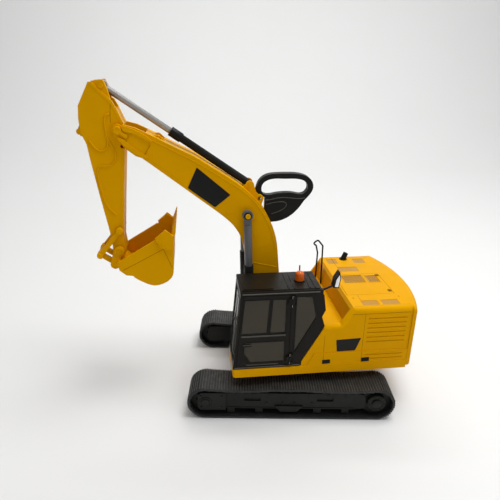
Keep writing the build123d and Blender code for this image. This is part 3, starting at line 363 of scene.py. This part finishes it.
def from_bmesh(name, bm, material, body, slewed=True, edge=0.0, smooth=True):
    """Turns a finished bmesh into a piece, with edges rounded by this many mm."""
    bmesh.ops.recalc_face_normals(bm, faces=bm.faces)
    mesh = bpy.data.meshes.new(name)
    bm.to_mesh(mesh)
    bm.free()
    if smooth:
        mesh.shade_smooth()
    piece = make_piece(name, mesh, material, body, slewed)
    if edge > 0:
        round_edges(piece, edge)
    return piece


def add_slab(bm, profile, near, far):
    """A flat plate of this profile between two distances to the left."""
    first = [bm.verts.new(place(x, near, z)) for x, z in profile]
    second = [bm.verts.new(place(x, far, z)) for x, z in profile]
    bm.faces.new(first)
    bm.faces.new(list(reversed(second)))
    for i in range(len(profile)):
        j = (i + 1) % len(profile)
        bm.faces.new((first[i], first[j], second[j], second[i]))


def add_box(bm, x, y, z):
    """A box between two values on each axis."""
    add_slab(bm, ((x[0], z[0]), (x[1], z[0]), (x[1], z[1]), (x[0], z[1])), y[0], y[1])


def add_turned(bm, centre, section, sign=1, steps=48):
    """A body turned about a cross-machine axis; section is (radius, left) pairs."""
    rings = []
    for radius, left in section:
        ring = []
        for i in range(steps):
            angle = 2 * pi * i / steps
            ring.append(bm.verts.new(place(
                centre[0] + radius * cos(angle), sign * left, centre[1] + radius * sin(angle)
            )))
        rings.append(ring)
    for inner, outer in zip(rings, rings[1:]):
        for i in range(steps):
            j = (i + 1) % steps
            bm.faces.new((inner[i], inner[j], outer[j], outer[i]))
    bm.faces.new(rings[0])
    bm.faces.new(list(reversed(rings[-1])))


def add_turned_up(bm, where, base, radius, height, steps=12):
    """A low upright button, such as a screw head."""
    rings = []
    for r, z in ((radius, base - 0.3), (radius, base + height * 0.6), (radius * 0.7, base + height)):
        rings.append([
            bm.verts.new(place(where[0] + r * cos(2 * pi * i / steps),
                               where[1] + r * sin(2 * pi * i / steps), z))
            for i in range(steps)
        ])
    for lower, upper in zip(rings, rings[1:]):
        for i in range(steps):
            j = (i + 1) % steps
            bm.faces.new((lower[i], lower[j], upper[j], upper[i]))
    bm.faces.new(list(reversed(rings[0])))
    bm.faces.new(rings[-1])


def both_sides(build, name, material, body, edge=0.0):
    """One piece that holds the same feature on the left and on the right."""
    bm = bmesh.new()
    for sign in (1, -1):
        build(bm, sign)
    return from_bmesh(name, bm, material, body, edge=edge)


def rounded(points, radius, steps=5):
    """The closed outline with each corner cut by a short curve."""
    result = []
    count = len(points)
    for i in range(count):
        corner = Vector(points[i])
        before = Vector(points[i - 1]) - corner
        after = Vector(points[(i + 1) % count]) - corner
        reach = min(radius, before.length * 0.45, after.length * 0.45)
        start = corner + before.normalized() * reach
        end = corner + after.normalized() * reach
        for step in range(steps + 1):
            t = step / steps
            result.append(tuple(start * (1 - t) ** 2 + corner * 2 * t * (1 - t) + end * t ** 2))
    return result


def bead_mesh(name, paths, radius, cyclic=False, smooth_path=True):
    """Round beads along 3-D paths in mm, as one mesh."""
    curve = bpy.data.curves.new(name, "CURVE")
    curve.dimensions = "3D"
    curve.bevel_depth = radius * MM
    curve.bevel_resolution = 3
    curve.use_fill_caps = True
    for path in paths:
        spline = curve.splines.new("NURBS" if smooth_path else "POLY")
        spline.points.add(len(path) - 1)
        for point, where in zip(spline.points, path):
            point.co = (*place(*where), 1.0)
        spline.use_cyclic_u = cyclic
        if smooth_path:
            spline.order_u = 4
            spline.use_endpoint_u = not cyclic
            spline.resolution_u = 8
    holder = bpy.data.objects.new(name, curve)
    mesh = bpy.data.meshes.new_from_object(holder)
    bpy.data.objects.remove(holder)
    bpy.data.curves.remove(curve)
    mesh.shade_smooth()
    return mesh


def side_beads(name, lines, side, radius, material, body, cyclic=False, smooth_path=True):
    """Beads that lie on both flanks of a box section."""
    paths = [[(x, sign * side, z) for x, z in line] for sign in (1, -1) for line in lines]
    mesh = bead_mesh(name, paths, radius, cyclic, smooth_path)
    return make_piece(name, mesh, material, body)


# ---- track belts ----
def sag(x):
    """How far the belt's top run hangs below its rollers at this place."""
    rear, front = CARRIER_X
    if x < rear:
        low, high, depth = -WHEEL_X, rear, 2.6
    elif x > front:
        low, high, depth = front, WHEEL_X, 2.6
    else:
        low, high, depth = rear, front, 0.4
    t = (x - low) / (high - low)
    return depth * 4 * t * (1 - t)


def belt_point(distance, radius):
    """Forward and height of a belt layer, and its outward direction, along the loop."""
    straight = 2 * WHEEL_X
    arc = pi * BAND_OUTER
    distance = distance % (2 * straight + 2 * arc)
    if distance < straight:
        x = WHEEL_X - distance
        return x, END_RADIUS + radius - sag(x), (0, 1)
    if distance < straight + arc:
        turn = (distance - straight) / BAND_OUTER
        out = (-sin(turn), cos(turn))
        return -WHEEL_X + radius * out[0], END_RADIUS + radius * out[1], out
    if distance < 2 * straight + arc:
        return -WHEEL_X + distance - straight - arc, END_RADIUS - radius, (0, -1)
    turn = (distance - 2 * straight - arc) / BAND_OUTER
    out = (sin(turn), -cos(turn))
    return WHEEL_X + radius * out[0], END_RADIUS + radius * out[1], out


def add_cleat(bm, distance, low, high, half_length, middle, half_width, taper, highlight_index=0):
    """A bar across the belt between two layers, narrower at its free face."""
    rows = []
    for radius, shrink in ((low, 0.0), (high, taper)):
        row = []
        for step in (-half_length + shrink * 0.5, half_length - shrink * 0.5):
            x, z, _ = belt_point(distance + step, radius)
            for left in (middle - half_width + shrink, middle + half_width - shrink):
                row.append(bm.verts.new(place(x, left, z)))
        rows.append(row)
    base, top = rows
    # The free face takes the given material index; index 1 is the lighter rubber, a painted
    # highlight on the cleat tops.
    bm.faces.new((top[0], top[1], top[3], top[2])).material_index = highlight_index
    bm.faces.new((base[0], base[2], base[3], base[1]))
    for i, j in ((0, 1), (1, 3), (3, 2), (2, 0)):
        bm.faces.new((base[i], base[j], top[j], top[i]))


def make_belt(sign, tag):
    """Rubber belt: band, three fine cleats a link, a row of inner lugs and edge lugs."""
    loop = 4 * WHEEL_X + 2 * pi * BAND_OUTER
    link = loop / SHOE_COUNT
    middle = sign * TRACK_Y
    half = SHOE_WIDTH / 2
    bm = bmesh.new()
    section = (
        (BAND_INNER, -half), (BAND_INNER, half), (BAND_INNER + 0.6, half),
        (BAND_OUTER - 0.5, half), (BAND_OUTER, half - 0.6), (BAND_OUTER, -half + 0.6),
        (BAND_OUTER - 0.5, -half), (BAND_INNER + 0.6, -half),
    )
    steps = SHOE_COUNT * 4
    rings = []
    for i in range(steps):
        ring = []
        for radius, left in section:
            x, z, _ = belt_point(i * loop / steps, radius)
            ring.append(bm.verts.new(place(x, middle + left, z)))
        rings.append(ring)
    for i in range(steps):
        here, there = rings[i], rings[(i + 1) % steps]
        for j in range(len(section)):
            k = (j + 1) % len(section)
            bm.faces.new((here[j], here[k], there[k], there[j]))
    for i in range(SHOE_COUNT):
        # The cleats and edge lugs pass index 1, so their free faces carry the painted highlight.
        for part, reach in ((0, 1.2), (1, 1.0), (2, 1.0)):
            add_cleat(bm, (i + part / 3) * link, BAND_OUTER - 0.4, BAND_OUTER + reach,
                      0.85, middle, half, 0.4, 1)
        add_cleat(bm, i * link, BAND_INNER - 2.0, BAND_INNER + 0.4, 2.1, middle, 3.0, 0.5)
        for edge in (-1, 1):
            add_cleat(bm, (i + 0.5) * link, BAND_INNER - 0.9, BAND_INNER + 0.4,
                      1.1, middle + edge * (half - 2.6), 2.4, 0.3, 1)
    belt = from_bmesh(f"belt_{tag}", bm, RUBBER, "undercarriage",
                      slewed=False, smooth=False)
    # The second slot holds the lighter rubber: painted highlight on the cleat tops and lugs.
    belt.data.materials.append(RUBBER_HIGHLIGHT)
    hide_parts(f"track_belt_{tag}")


# ---- undercarriage details ----
def make_frame_details():
    """Caps, bolt heads and ribs on the outer face of both track frames."""
    face = 100.6
    bm = bmesh.new()
    for sign in (1, -1):
        front = (WHEEL_X, END_RADIUS)
        add_turned(bm, front, ((8.2, 103.6), (8.2, 104.6), (7.4, 105.3), (6.2, 105.3),
                               (6.0, 104.9), (4.2, 104.9), (3.8, 105.6), (1.6, 105.9)), sign)
        for x in (93, 121):
            for z in (16, 34):
                add_turned(bm, (x, z), ((1.5, 103.7), (1.5, 104.7), (1.0, 105.1)), sign, 12)
        rear = (-WHEEL_X, END_RADIUS)
        add_turned(bm, rear, ((4.6, 103.0), (4.6, 105.6), (3.8, 106.0), (2.0, 106.0)), sign)
        for x in (-74, -50, -24, 6, 30, 52, 74):
            add_box(bm, (x - 1.0, x + 1.0), (sign * face, sign * (face + 1.6)), (31.5, 37.6))
        add_box(bm, (-86, 88), (sign * face, sign * (face + 1.2)), (36.2, 38.0))
        add_box(bm, (-86, 88), (sign * face, sign * (face + 1.2)), (13.2, 14.8))
        for x in (-28, -4, 12, 33):
            add_turned(bm, (x, 22), ((1.6, face), (1.6, face + 1.1), (1.1, face + 1.5)), sign, 12)
    from_bmesh("track_frame_details", bm, CHASSIS, "undercarriage",
               slewed=False, edge=0.2)


def make_drive_rings():
    """Stepped hub covers with six bolt heads on the drive wheels."""
    for sign, tag in ((1, "left"), (-1, "right")):
        centre = (-WHEEL_X, END_RADIUS)
        bm = bmesh.new()
        add_turned(bm, centre, ((12.3, 102.4), (12.3, 103.2), (11.4, 103.8), (9.4, 103.8),
                                (9.0, 103.2), (6.6, 103.2)), sign)
        for i in range(6):
            angle = i * pi / 3
            bolt = (centre[0] + 10.4 * cos(angle), centre[1] + 10.4 * sin(angle))
            add_turned(bm, bolt, ((0.9, 103.5), (0.9, 104.3), (0.5, 104.6)), sign, 8)
        from_bmesh(f"drive_hub_{tag}", bm, CHASSIS, f"drive_{tag}",
                   slewed=False, edge=0.15)


# ---- body ----
def make_badges():
    """Plain dark plates on the flanks of the body and of the boom."""
    side_plate = rounded(((-47, 110), (-80.6, 111), (-74, 92.5), (-49, 92.2)), 1.2)
    boom_plate = rounded(((129, 326.5), (87, 290.5), (107, 274.5), (141, 300.5)), 1.6)

    def on_body(bm, sign):
        add_slab(bm, side_plate, sign * (BODY_SIDE - 0.3), sign * (BODY_SIDE + 0.5))

    def on_boom(bm, sign):
        add_slab(bm, boom_plate, sign * (BOOM_SIDE - 0.3), sign * (BOOM_SIDE + 0.5))

    both_sides(on_body, "side_plates", DECAL, "upper", 0.12)
    both_sides(on_boom, "boom_plates", DECAL, "boom", 0.15)


def make_side_latches():
    """Ribbed finger latches low on both flanks of the body."""
    def build(bm, sign):
        for x in (-35.2, -89.3):
            outline = rounded(((x - 5.5, 74.8), (x + 5.3, 74.4), (x + 5.5, 80.6),
                               (x - 5.3, 81)), 0.6, 3)
            face = BODY_SIDE + 1.4
            add_slab(bm, outline, sign * (BODY_SIDE + BAND_STEP), sign * face)
            for z in (76.2, 77.8, 79.4):
                ridge = (sign * (face - 0.2), sign * (face + 0.3))
                add_box(bm, (x - 4.2, x + 4.2), ridge, (z - 0.35, z + 0.35))

    both_sides(build, "side_latches", BLACK, "upper", 0.1)


def make_seams():
    """Panel joints as fine dark lines on the flanks and top of the body."""
    bm = bmesh.new()
    for sign in (1, -1):
        flank = (sign * (BODY_SIDE - 0.2), sign * (BODY_SIDE + 0.06))
        band = (sign * (BODY_SIDE + BAND_STEP), sign * (BODY_SIDE + 1.05))
        for x in (-31, -83.5):
            add_box(bm, (x - 0.22, x + 0.22), flank, (91.5, 118 if x > -50 else 148))
            add_box(bm, (x - 0.22, x + 0.22), band, (73.5, 90.4))
        add_box(bm, (-146, -66), flank, (146.6, 147.1))
    top = (HOOD_TOP - 0.2, HOOD_TOP + 0.05)
    add_box(bm, (-84, -83.5), (-84, -18), top)
    add_box(bm, (-84, -83.5), (51, 65), top)
    for y in (81.5, -81.5):
        add_box(bm, (-146, -71), (y - 0.2, y + 0.2), top)
    from_bmesh("body_seams", bm, YELLOW_DARK, "upper", smooth=False)


def make_side_ribs():
    """Rolled louvre lips over the grooves on both flanks of the engine bay."""
    def build(bm, sign):
        for z in LOUVRE_HEIGHTS:
            lip = ((-140, z + 1.5), (-89, z + 1.5), (-88, z + 2.3), (-89, z + 3.6),
                   (-140, z + 3.6), (-141, z + 2.3))
            add_slab(bm, lip, sign * (BODY_SIDE - 0.3), sign * (BODY_SIDE + 0.3))

    both_sides(build, "side_louvres", YELLOW, "upper", 0.25)


def make_vents():
    """Perforated panels set in the recesses of the roof."""
    bm = bmesh.new()
    for x, y in VENTS:
        add_box(bm, x, y, (HOOD_TOP - 1.0, HOOD_TOP - 0.35))
    panels = from_bmesh("vent_panels", bm, GRILLE, "upper", smooth=False)
    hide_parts("roof_vents")


def make_hood_trim():
    """Frames round the hood's grilles, and its two finger latches."""
    rim = 0.9
    height = (HOOD_TOP - 0.3, HOOD_TOP + 0.35)
    bm = bmesh.new()
    for x, y in HOOD_GRILLES:
        for edge in ((x[0] - rim, x[0]), (x[1], x[1] + rim)):
            add_box(bm, edge, (y[0] - rim, y[1] + rim), height)
        for edge in ((y[0] - rim, y[0]), (y[1], y[1] + rim)):
            add_box(bm, x, edge, height)
    from_bmesh("hood_frames", bm, YELLOW, "hood", edge=0.2)
    bm = bmesh.new()
    for y in (-9, 41):
        add_box(bm, (-136.2, -131.2), (y - 2.7, y + 2.7), (HOOD_TOP, HOOD_TOP + 0.8))
        add_box(bm, (-134.6, -132.8), (y - 2.0, y + 2.0), (HOOD_TOP + 0.6, HOOD_TOP + 1.3))
    from_bmesh("hood_latches", bm, YELLOW_DARK, "hood", edge=0.2)


def make_deck_trim():
    """Tread pads on the tank's step, and bolt heads on the body and the tank."""
    step_top, tank_top = 97.0, 121.0
    bm = bmesh.new()
    for i in range(4):
        for j in range(3):
            x, y = 47 + i * 5.6, -83 + j * 5
            add_box(bm, (x, x + 4.2), (y, y + 3.2), (step_top - 0.2, step_top + 0.6))
    from_bmesh("tank_tread", bm, BLACK, "upper", edge=0.25)
    bm = bmesh.new()
    for x in (-140, -76):
        for y in (-80, 58):
            add_turned_up(bm, (x, y), HOOD_TOP, 1.5, 0.7)
    for x, y in ((-2, -46), (-2, -78), (34, -46), (34, -78)):
        add_turned_up(bm, (x, y), tank_top, 1.6, 0.8)
    from_bmesh("body_bolts", bm, YELLOW, "upper", edge=0.15)


# ---- cab ----
def cab_front(z):
    """How far forward the leaning cab front is at this height."""
    return CAB_FRONT_LOW - (z - DECK_TOP) * CAB_FRONT_LEAN / (CAB_TOP - DECK_TOP)


def make_cab_trim():
    """Grab rail, wiper, gutter and sill strip of the cab."""
    side = CAB_LEFT - 3
    rail = [(cab_front(z) + 2.6, side, z) for z in (98, 112, 126, 140, 150)]
    rail = [(cab_front(98) - 1, side, 96)] + rail + [(cab_front(150) - 1, side, 152)]
    mesh = bead_mesh("cab_grab_rail", [rail], 1.1)
    # The grab rail is drawn in the light grey: a painted highlight.
    make_piece("cab_grab_rail", mesh, CAB_TRIM_HIGHLIGHT, "upper")
    wiper = [(cab_front(z) + 0.9, y, z) for y, z in ((60, 84), (58, 100), (52, 130), (50, 150))]
    blade = [(cab_front(z) + 0.6, y, z) for y, z in ((47, 124), (52, 146), (55, 166))]
    mesh = bead_mesh("cab_wiper", [wiper, blade], 0.7)
    make_piece("cab_wiper", mesh, BLACK, "upper")
    gutter = [(x, CAB_LEFT + 0.5, CAB_TOP - 0.4) for x in (-20, 78)]
    sill = [(x, CAB_LEFT + 0.3, DECK_TOP + 2) for x in (1, cab_front(DECK_TOP + 2) - 2)]
    # The gutter and sill strip are drawn in the light grey: a painted highlight.
    mesh = bead_mesh("cab_gutters", [gutter, sill], 0.8, smooth_path=False)
    make_piece("cab_gutters", mesh, CAB_TRIM_HIGHLIGHT, "upper")


def make_door_trim():
    """Sill rail, pane gaskets, lock and pull on the cab door."""
    bm = bmesh.new()
    add_box(bm, (21.5, 79.2), (CAB_LEFT - 0.4, CAB_LEFT + 1.2), (121.4, 123.4))
    add_box(bm, (66, 77), (CAB_LEFT - 0.4, CAB_LEFT + 1.5), (108, 110))
    add_box(bm, (30, 72), (CAB_LEFT - 0.4, CAB_LEFT + 0.5), (78.2, 79.6))
    # The door's rails and lock are drawn in the light grey: a painted highlight.
    from_bmesh("door_rails", bm, CAB_TRIM_HIGHLIGHT, "door", edge=0.3)
    panes = (
        ((46, 125), (79.5, 125), (75.2, 174), (43, 174)),
        ((22, 125), (42.5, 125), (39.5, 174), (22, 174)),
        ((22, 81.5), (67, 81.5), (76, 97), (74.5, 113), (22, 113)),
    )
    paths = [[(x, CAB_LEFT + 0.1, z) for x, z in rounded(pane, 1.5, 3)] for pane in panes]
    mesh = bead_mesh("door_gaskets", paths, 0.55, cyclic=True, smooth_path=False)
    make_piece("door_gaskets", mesh, BLACK, "door")


def make_cab_gasket():
    """Gaskets round the quarter window and the windshield."""
    quarter = rounded(((9.5, 177), (-11.5, 176), (-18, 146), (9.5, 93)), 1.5, 3)
    paths = [[(x, CAB_LEFT + 0.05, z) for x, z in quarter]]
    front = ((39, 82), (84, 82), (84, 176), (39, 176))
    paths.append([(cab_front(z) + 0.05, y, z) for y, z in rounded(front, 3, 4)])
    mesh = bead_mesh("cab_gaskets", paths, 0.6, cyclic=True, smooth_path=False)
    make_piece("cab_gaskets", mesh, BLACK, "upper")


# ---- boom, stick and bucket ----
def make_boom_beads():
    """Weld beads on both flanks of the boom, and the seams and flanges of its nose."""
    top = ((26, 214), (31, 238), (42, 262), (58, 285), (78, 300.5), (93, 309.6),
           (131, 334.2), (165, 351.4), (186, 361.6))
    bottom = ((59.6, 197), (62.6, 216), (70, 234.5), (85, 255), (105.4, 275.4),
              (149.6, 309.4), (185.4, 337.2))
    side_beads("boom_top_welds", (top,), BOOM_SIDE - 0.1, 0.55, YELLOW, "boom")
    side_beads("boom_bottom_welds", (bottom,), BOOM_SIDE - 0.25, 0.5, YELLOW, "boom")
    foot = ((24, 187.5), (60, 196))
    side_beads("boom_foot_welds", (foot,), BOOM_SIDE - 0.1, 0.6, YELLOW, "boom",
               smooth_path=False)

    seam = ((184.2, 354), (192, 341.2))
    side_beads("boom_nose_seams", (seam,), BOOM_SIDE - 0.05, 0.3, YELLOW_DARK, "boom",
               smooth_path=False)

    def flanges(bm, sign):
        near, far = sign * (BOOM_SIDE - 0.2), sign * (BOOM_SIDE + 2.2)
        upper = rounded(((217, 377), (212, 376.7), (200.4, 372.3), (189.2, 366), (182.6, 360.6),
                         (181.6, 357.6), (189.5, 360.4), (200.7, 367.2), (214.4, 370.6)), 2.5)
        lower = rounded(((222.4, 364.6), (214, 361), (203, 350.6), (192, 343.2), (186.6, 338.8),
                         (192.4, 338.2), (204.4, 345), (214.6, 353.8), (221, 361)), 2.0)
        add_slab(bm, upper, near, far)
        add_slab(bm, lower, near, far)

    both_sides(flanges, "boom_nose_flanges", YELLOW, "boom", 0.5)


def make_pin_rings():
    """Black rings and domed pin ends at the lift cylinders and the nose."""
    def rings(bm, sign):
        add_turned(bm, BOOM_CYLINDER_PIN, ((4.9, 29.0), (4.9, 30.4), (4.3, 30.9), (3.4, 30.9)),
                   sign)

    def domes(bm, sign):
        add_turned(bm, BOOM_CYLINDER_PIN, ((3.2, 31.0), (3.2, 32.0), (2.4, 32.35), (0.6, 32.4)),
                   sign)
        add_turned(bm, STICK_PIN, ((4.9, 21.0), (4.9, 21.6), (4.2, 22.0), (3.2, 22.0),
                                   (3.0, 21.6), (0.6, 21.6)), sign)

    both_sides(rings, "lift_pin_rings", BLACK, "boom", 0.15)
    both_sides(domes, "boom_pin_ends", YELLOW, "boom", 0.2)


def make_stick_beads():
    """Pressings, seams and welds on both flanks of the stick, and the rocker pin's ends."""
    hook = ((228.7, 390.2), (232.7, 389.9), (235.6, 386.6), (236, 378.8), (235.4, 368.6),
            (234.1, 359.8), (234.2, 353.9), (236.6, 348.3), (242.7, 345.8), (249, 348.8),
            (253.4, 355.5), (256, 360.3))
    tail = ((233.9, 362), (231.7, 356.9), (227.7, 349.4), (225.4, 341.9), (226.8, 335),
            (231.7, 329.7), (237.1, 327.9), (242.9, 329.1), (248.2, 327.2), (249.6, 322.8),
            (249.4, 316.1), (248.4, 306.7), (246.8, 297.1), (245, 287.5), (242.7, 279.3),
            (238.2, 272.7), (231.7, 265.9))
    side_beads("stick_pressings", (hook, tail), STICK_SIDE + 0.25, 1.15, YELLOW, "stick")
    seam = ((226.9, 403), (228.4, 393), (229, 380.2))
    side_beads("stick_head_seams", (seam,), STICK_SIDE - 0.1, 0.28, YELLOW_DARK, "stick")
    edge = ((219.4, 340), (224.2, 290), (227.8, 250))
    side_beads("stick_rear_welds", (edge,), STICK_SIDE - 0.2, 0.5, YELLOW, "stick",
               smooth_path=False)

    def head(bm, sign):
        cover = rounded(((249.8, 424), (246.2, 424.2), (226.6, 404.4), (223.4, 398.2),
                         (215.4, 378.6), (217, 376.6), (225, 396.6), (228.4, 402.4),
                         (247, 421)), 1.0, 3)
        add_slab(bm, cover, sign * (STICK_SIDE - 0.3), sign * (STICK_SIDE + 0.35))

    both_sides(head, "stick_head_edges", YELLOW, "stick", 0.3)

    def bosses(bm, sign):
        add_turned(bm, ROCKER_PIN, ((4.6, 18.6), (4.6, 20.2), (4.0, 20.8), (1.4, 21.0)), sign)

    both_sides(bosses, "rocker_pin_ends", YELLOW, "stick", 0.2)


def make_bucket_lines():
    """Creases, rims, cutter edges and bosses of the bucket, and the knee pin's ends."""
    creases = (
        ((226.6, 197.8), (200.4, 211.6), (174.1, 225.6)),
        ((174.1, 225.6), (164.2, 199.2)),
        ((183.4, 238), (181.6, 233), (178.4, 229.4), (173.4, 227.4), (163.6, 227)),
    )
    paths = [[(x, sign * (BUCKET_SIDE - 0.12), z) for x, z in line]
             for line in creases for sign in (1, -1)]
    mesh = bead_mesh("bucket_creases", paths, 0.32, smooth_path=False)
    make_piece("bucket_creases", mesh, YELLOW_DARK, "bucket")
    rim = ((230.5, 208.8), (184.6, 236.6))
    paths = [[(x, sign * (BUCKET_SIDE - 1.1), z) for x, z in rim] for sign in (1, -1)]
    mesh = bead_mesh("bucket_rims", paths, 1.15, smooth_path=False)
    make_piece("bucket_rims", mesh, YELLOW, "bucket")

    cutter = ((183.4, 239.2), (171.6, 249.2))
    paths = [[(x, sign * (BUCKET_SIDE + 0.3), z) for x, z in cutter] for sign in (1, -1)]
    mesh = bead_mesh("bucket_cutter_edges", paths, 1.5, smooth_path=False)
    make_piece("bucket_cutter_edges", mesh, YELLOW, "bucket")

    def hubs(bm, sign):
        add_turned(bm, BUCKET_PIN, ((6.4, 18.8), (6.4, 19.6), (5.8, 20.0), (3.2, 20.0),
                                    (2.9, 19.4), (1.2, 19.4)), sign)
        for i in range(3):
            x, z = 178.5 - i * 4.0, 235.5 - i * 3.4
            add_turned(bm, (x, z), ((1.1, BUCKET_SIDE + 2.0), (1.1, BUCKET_SIDE + 2.7),
                                    (0.7, BUCKET_SIDE + 3.0)), sign, 10)

    both_sides(hubs, "bucket_bosses", YELLOW, "bucket", 0.2)

    def knees(bm, sign):
        add_turned(bm, KNEE_PIN, ((3.9, 18.7), (3.9, 20.2), (3.2, 20.8), (1.0, 20.9)), sign)

    both_sides(knees, "knee_pin_ends", YELLOW, "rocker", 0.2)


def make_handle_lines():
    """The two raised lines on both faces of the carry handle."""
    upper = ((39.5, 279), (33.3, 278.8), (24, 282.1), (10.5, 281.8), (-0.4, 280.2),
             (-9.9, 279.6), (-13.9, 281.3))
    inner = ((38.6, 272.8), (31.9, 275), (21.1, 276.1), (13.7, 276.4), (9.9, 272.8),
             (12.6, 267.3), (20.6, 262.6), (31, 259.6))
    # The raised lines are drawn in the light grey: a painted highlight on the black handle.
    side_beads("handle_lines", (upper, inner), 5.4, 0.6, CAB_TRIM_HIGHLIGHT, "boom")


# ---- studio ----
def make_backdrop():
    """A pale floor that curves up into a wall behind the object; metres."""
    floor_front, floor_back, radius, wall_top, half_width = 1.6, -1.4, 0.9, 4.0, 4.5
    bm = bmesh.new()
    profile = [(floor_front, 0.0), (floor_back, 0.0)]
    for i in range(1, 13):
        angle = i * pi / 24
        profile.append((floor_back - radius * sin(angle), radius - radius * cos(angle)))
    profile.append((floor_back - radius, wall_top))
    rows = [[bm.verts.new((x, y, z)) for y, z in profile] for x in (-half_width, half_width)]
    for i in range(len(profile) - 1):
        bm.faces.new((rows[0][i], rows[1][i], rows[1][i + 1], rows[0][i + 1]))
    bmesh.ops.recalc_face_normals(bm, faces=bm.faces)
    mesh = bpy.data.meshes.new("studio_sweep")
    bm.to_mesh(mesh)
    bm.free()
    mesh.shade_smooth()
    mesh.materials.append(PAPER)
    sweep = bpy.data.objects.new("studio_sweep", mesh)
    bpy.context.scene.collection.objects.link(sweep)


def make_light(name, where, target, size, power):
    """A white rectangular light, in metres and watts, that faces its target."""
    data = bpy.data.lights.new(name, "AREA")
    data.shape = "RECTANGLE"
    data.size, data.size_y = size
    data.energy = power
    lamp = bpy.data.objects.new(name, data)
    lamp.location = where
    lamp.rotation_euler = (Vector(target) - Vector(where)).to_track_quat("-Z", "Y").to_euler()
    bpy.context.scene.collection.objects.link(lamp)


def make_studio():
    """Backdrop, softboxes and the pale air that fills the shadows."""
    make_backdrop()
    make_light("top_softbox", (-0.35, 0.05, 1.6), (0.03, 0, 0.1), (0.9, 0.8), 19)
    make_light("wall_softbox", (0.0, -1.5, 2.4), (0.0, -2.3, 1.0), (2.6, 0.5), 30)
    make_light("front_softbox", (0.5, 1.7, 0.9), (0.03, 0, 0.2), (1.4, 1.0), 2.0)
    make_light("side_softbox", (-1.5, 0.5, 0.9), (0.0, 0, 0.15), (0.9, 0.9), 2.4)
    world = bpy.data.worlds.new("studio_air")
    world.use_nodes = True
    background = world.node_tree.nodes["Background"]
    background.inputs["Color"].default_value = (0.97, 0.98, 1.0, 1.0)
    background.inputs["Strength"].default_value = 0.36
    bpy.context.scene.world = world
    bpy.context.scene.view_settings.view_transform = "Standard"


def make_camera():
    """The camera: a little above, square to the left side."""
    yaw, pitch, roll = 0.008, 0.383, 0.016  # radians
    forward = Vector((-sin(yaw) * cos(pitch), -cos(yaw) * cos(pitch), -sin(pitch)))
    level = Vector((-cos(yaw), sin(yaw), 0))
    upright = level.cross(forward)
    right = level * cos(roll) + upright * sin(roll)
    up = upright * cos(roll) - level * sin(roll)
    data = bpy.data.cameras.new("camera")
    data.sensor_width = 36.0
    data.lens = 34.56
    data.clip_start = 0.01
    camera = bpy.data.objects.new("camera", data)
    basis = Matrix((right, up, -forward)).transposed().to_4x4()
    camera.matrix_world = Matrix.Translation(place(62.82, 624.60, 454.84)) @ basis
    bpy.context.scene.collection.objects.link(camera)
    bpy.context.scene.camera = camera


dress_cad_nodes()
for track_sign, track_tag in ((1, "left"), (-1, "right")):
    make_belt(track_sign, track_tag)
make_frame_details()
make_drive_rings()
make_badges()
make_side_latches()
make_seams()
make_side_ribs()
make_vents()
make_hood_trim()
make_deck_trim()
make_cab_trim()
make_door_trim()
make_cab_gasket()
make_boom_beads()
make_pin_rings()
make_stick_beads()
make_bucket_lines()
make_handle_lines()
make_studio()
make_camera()
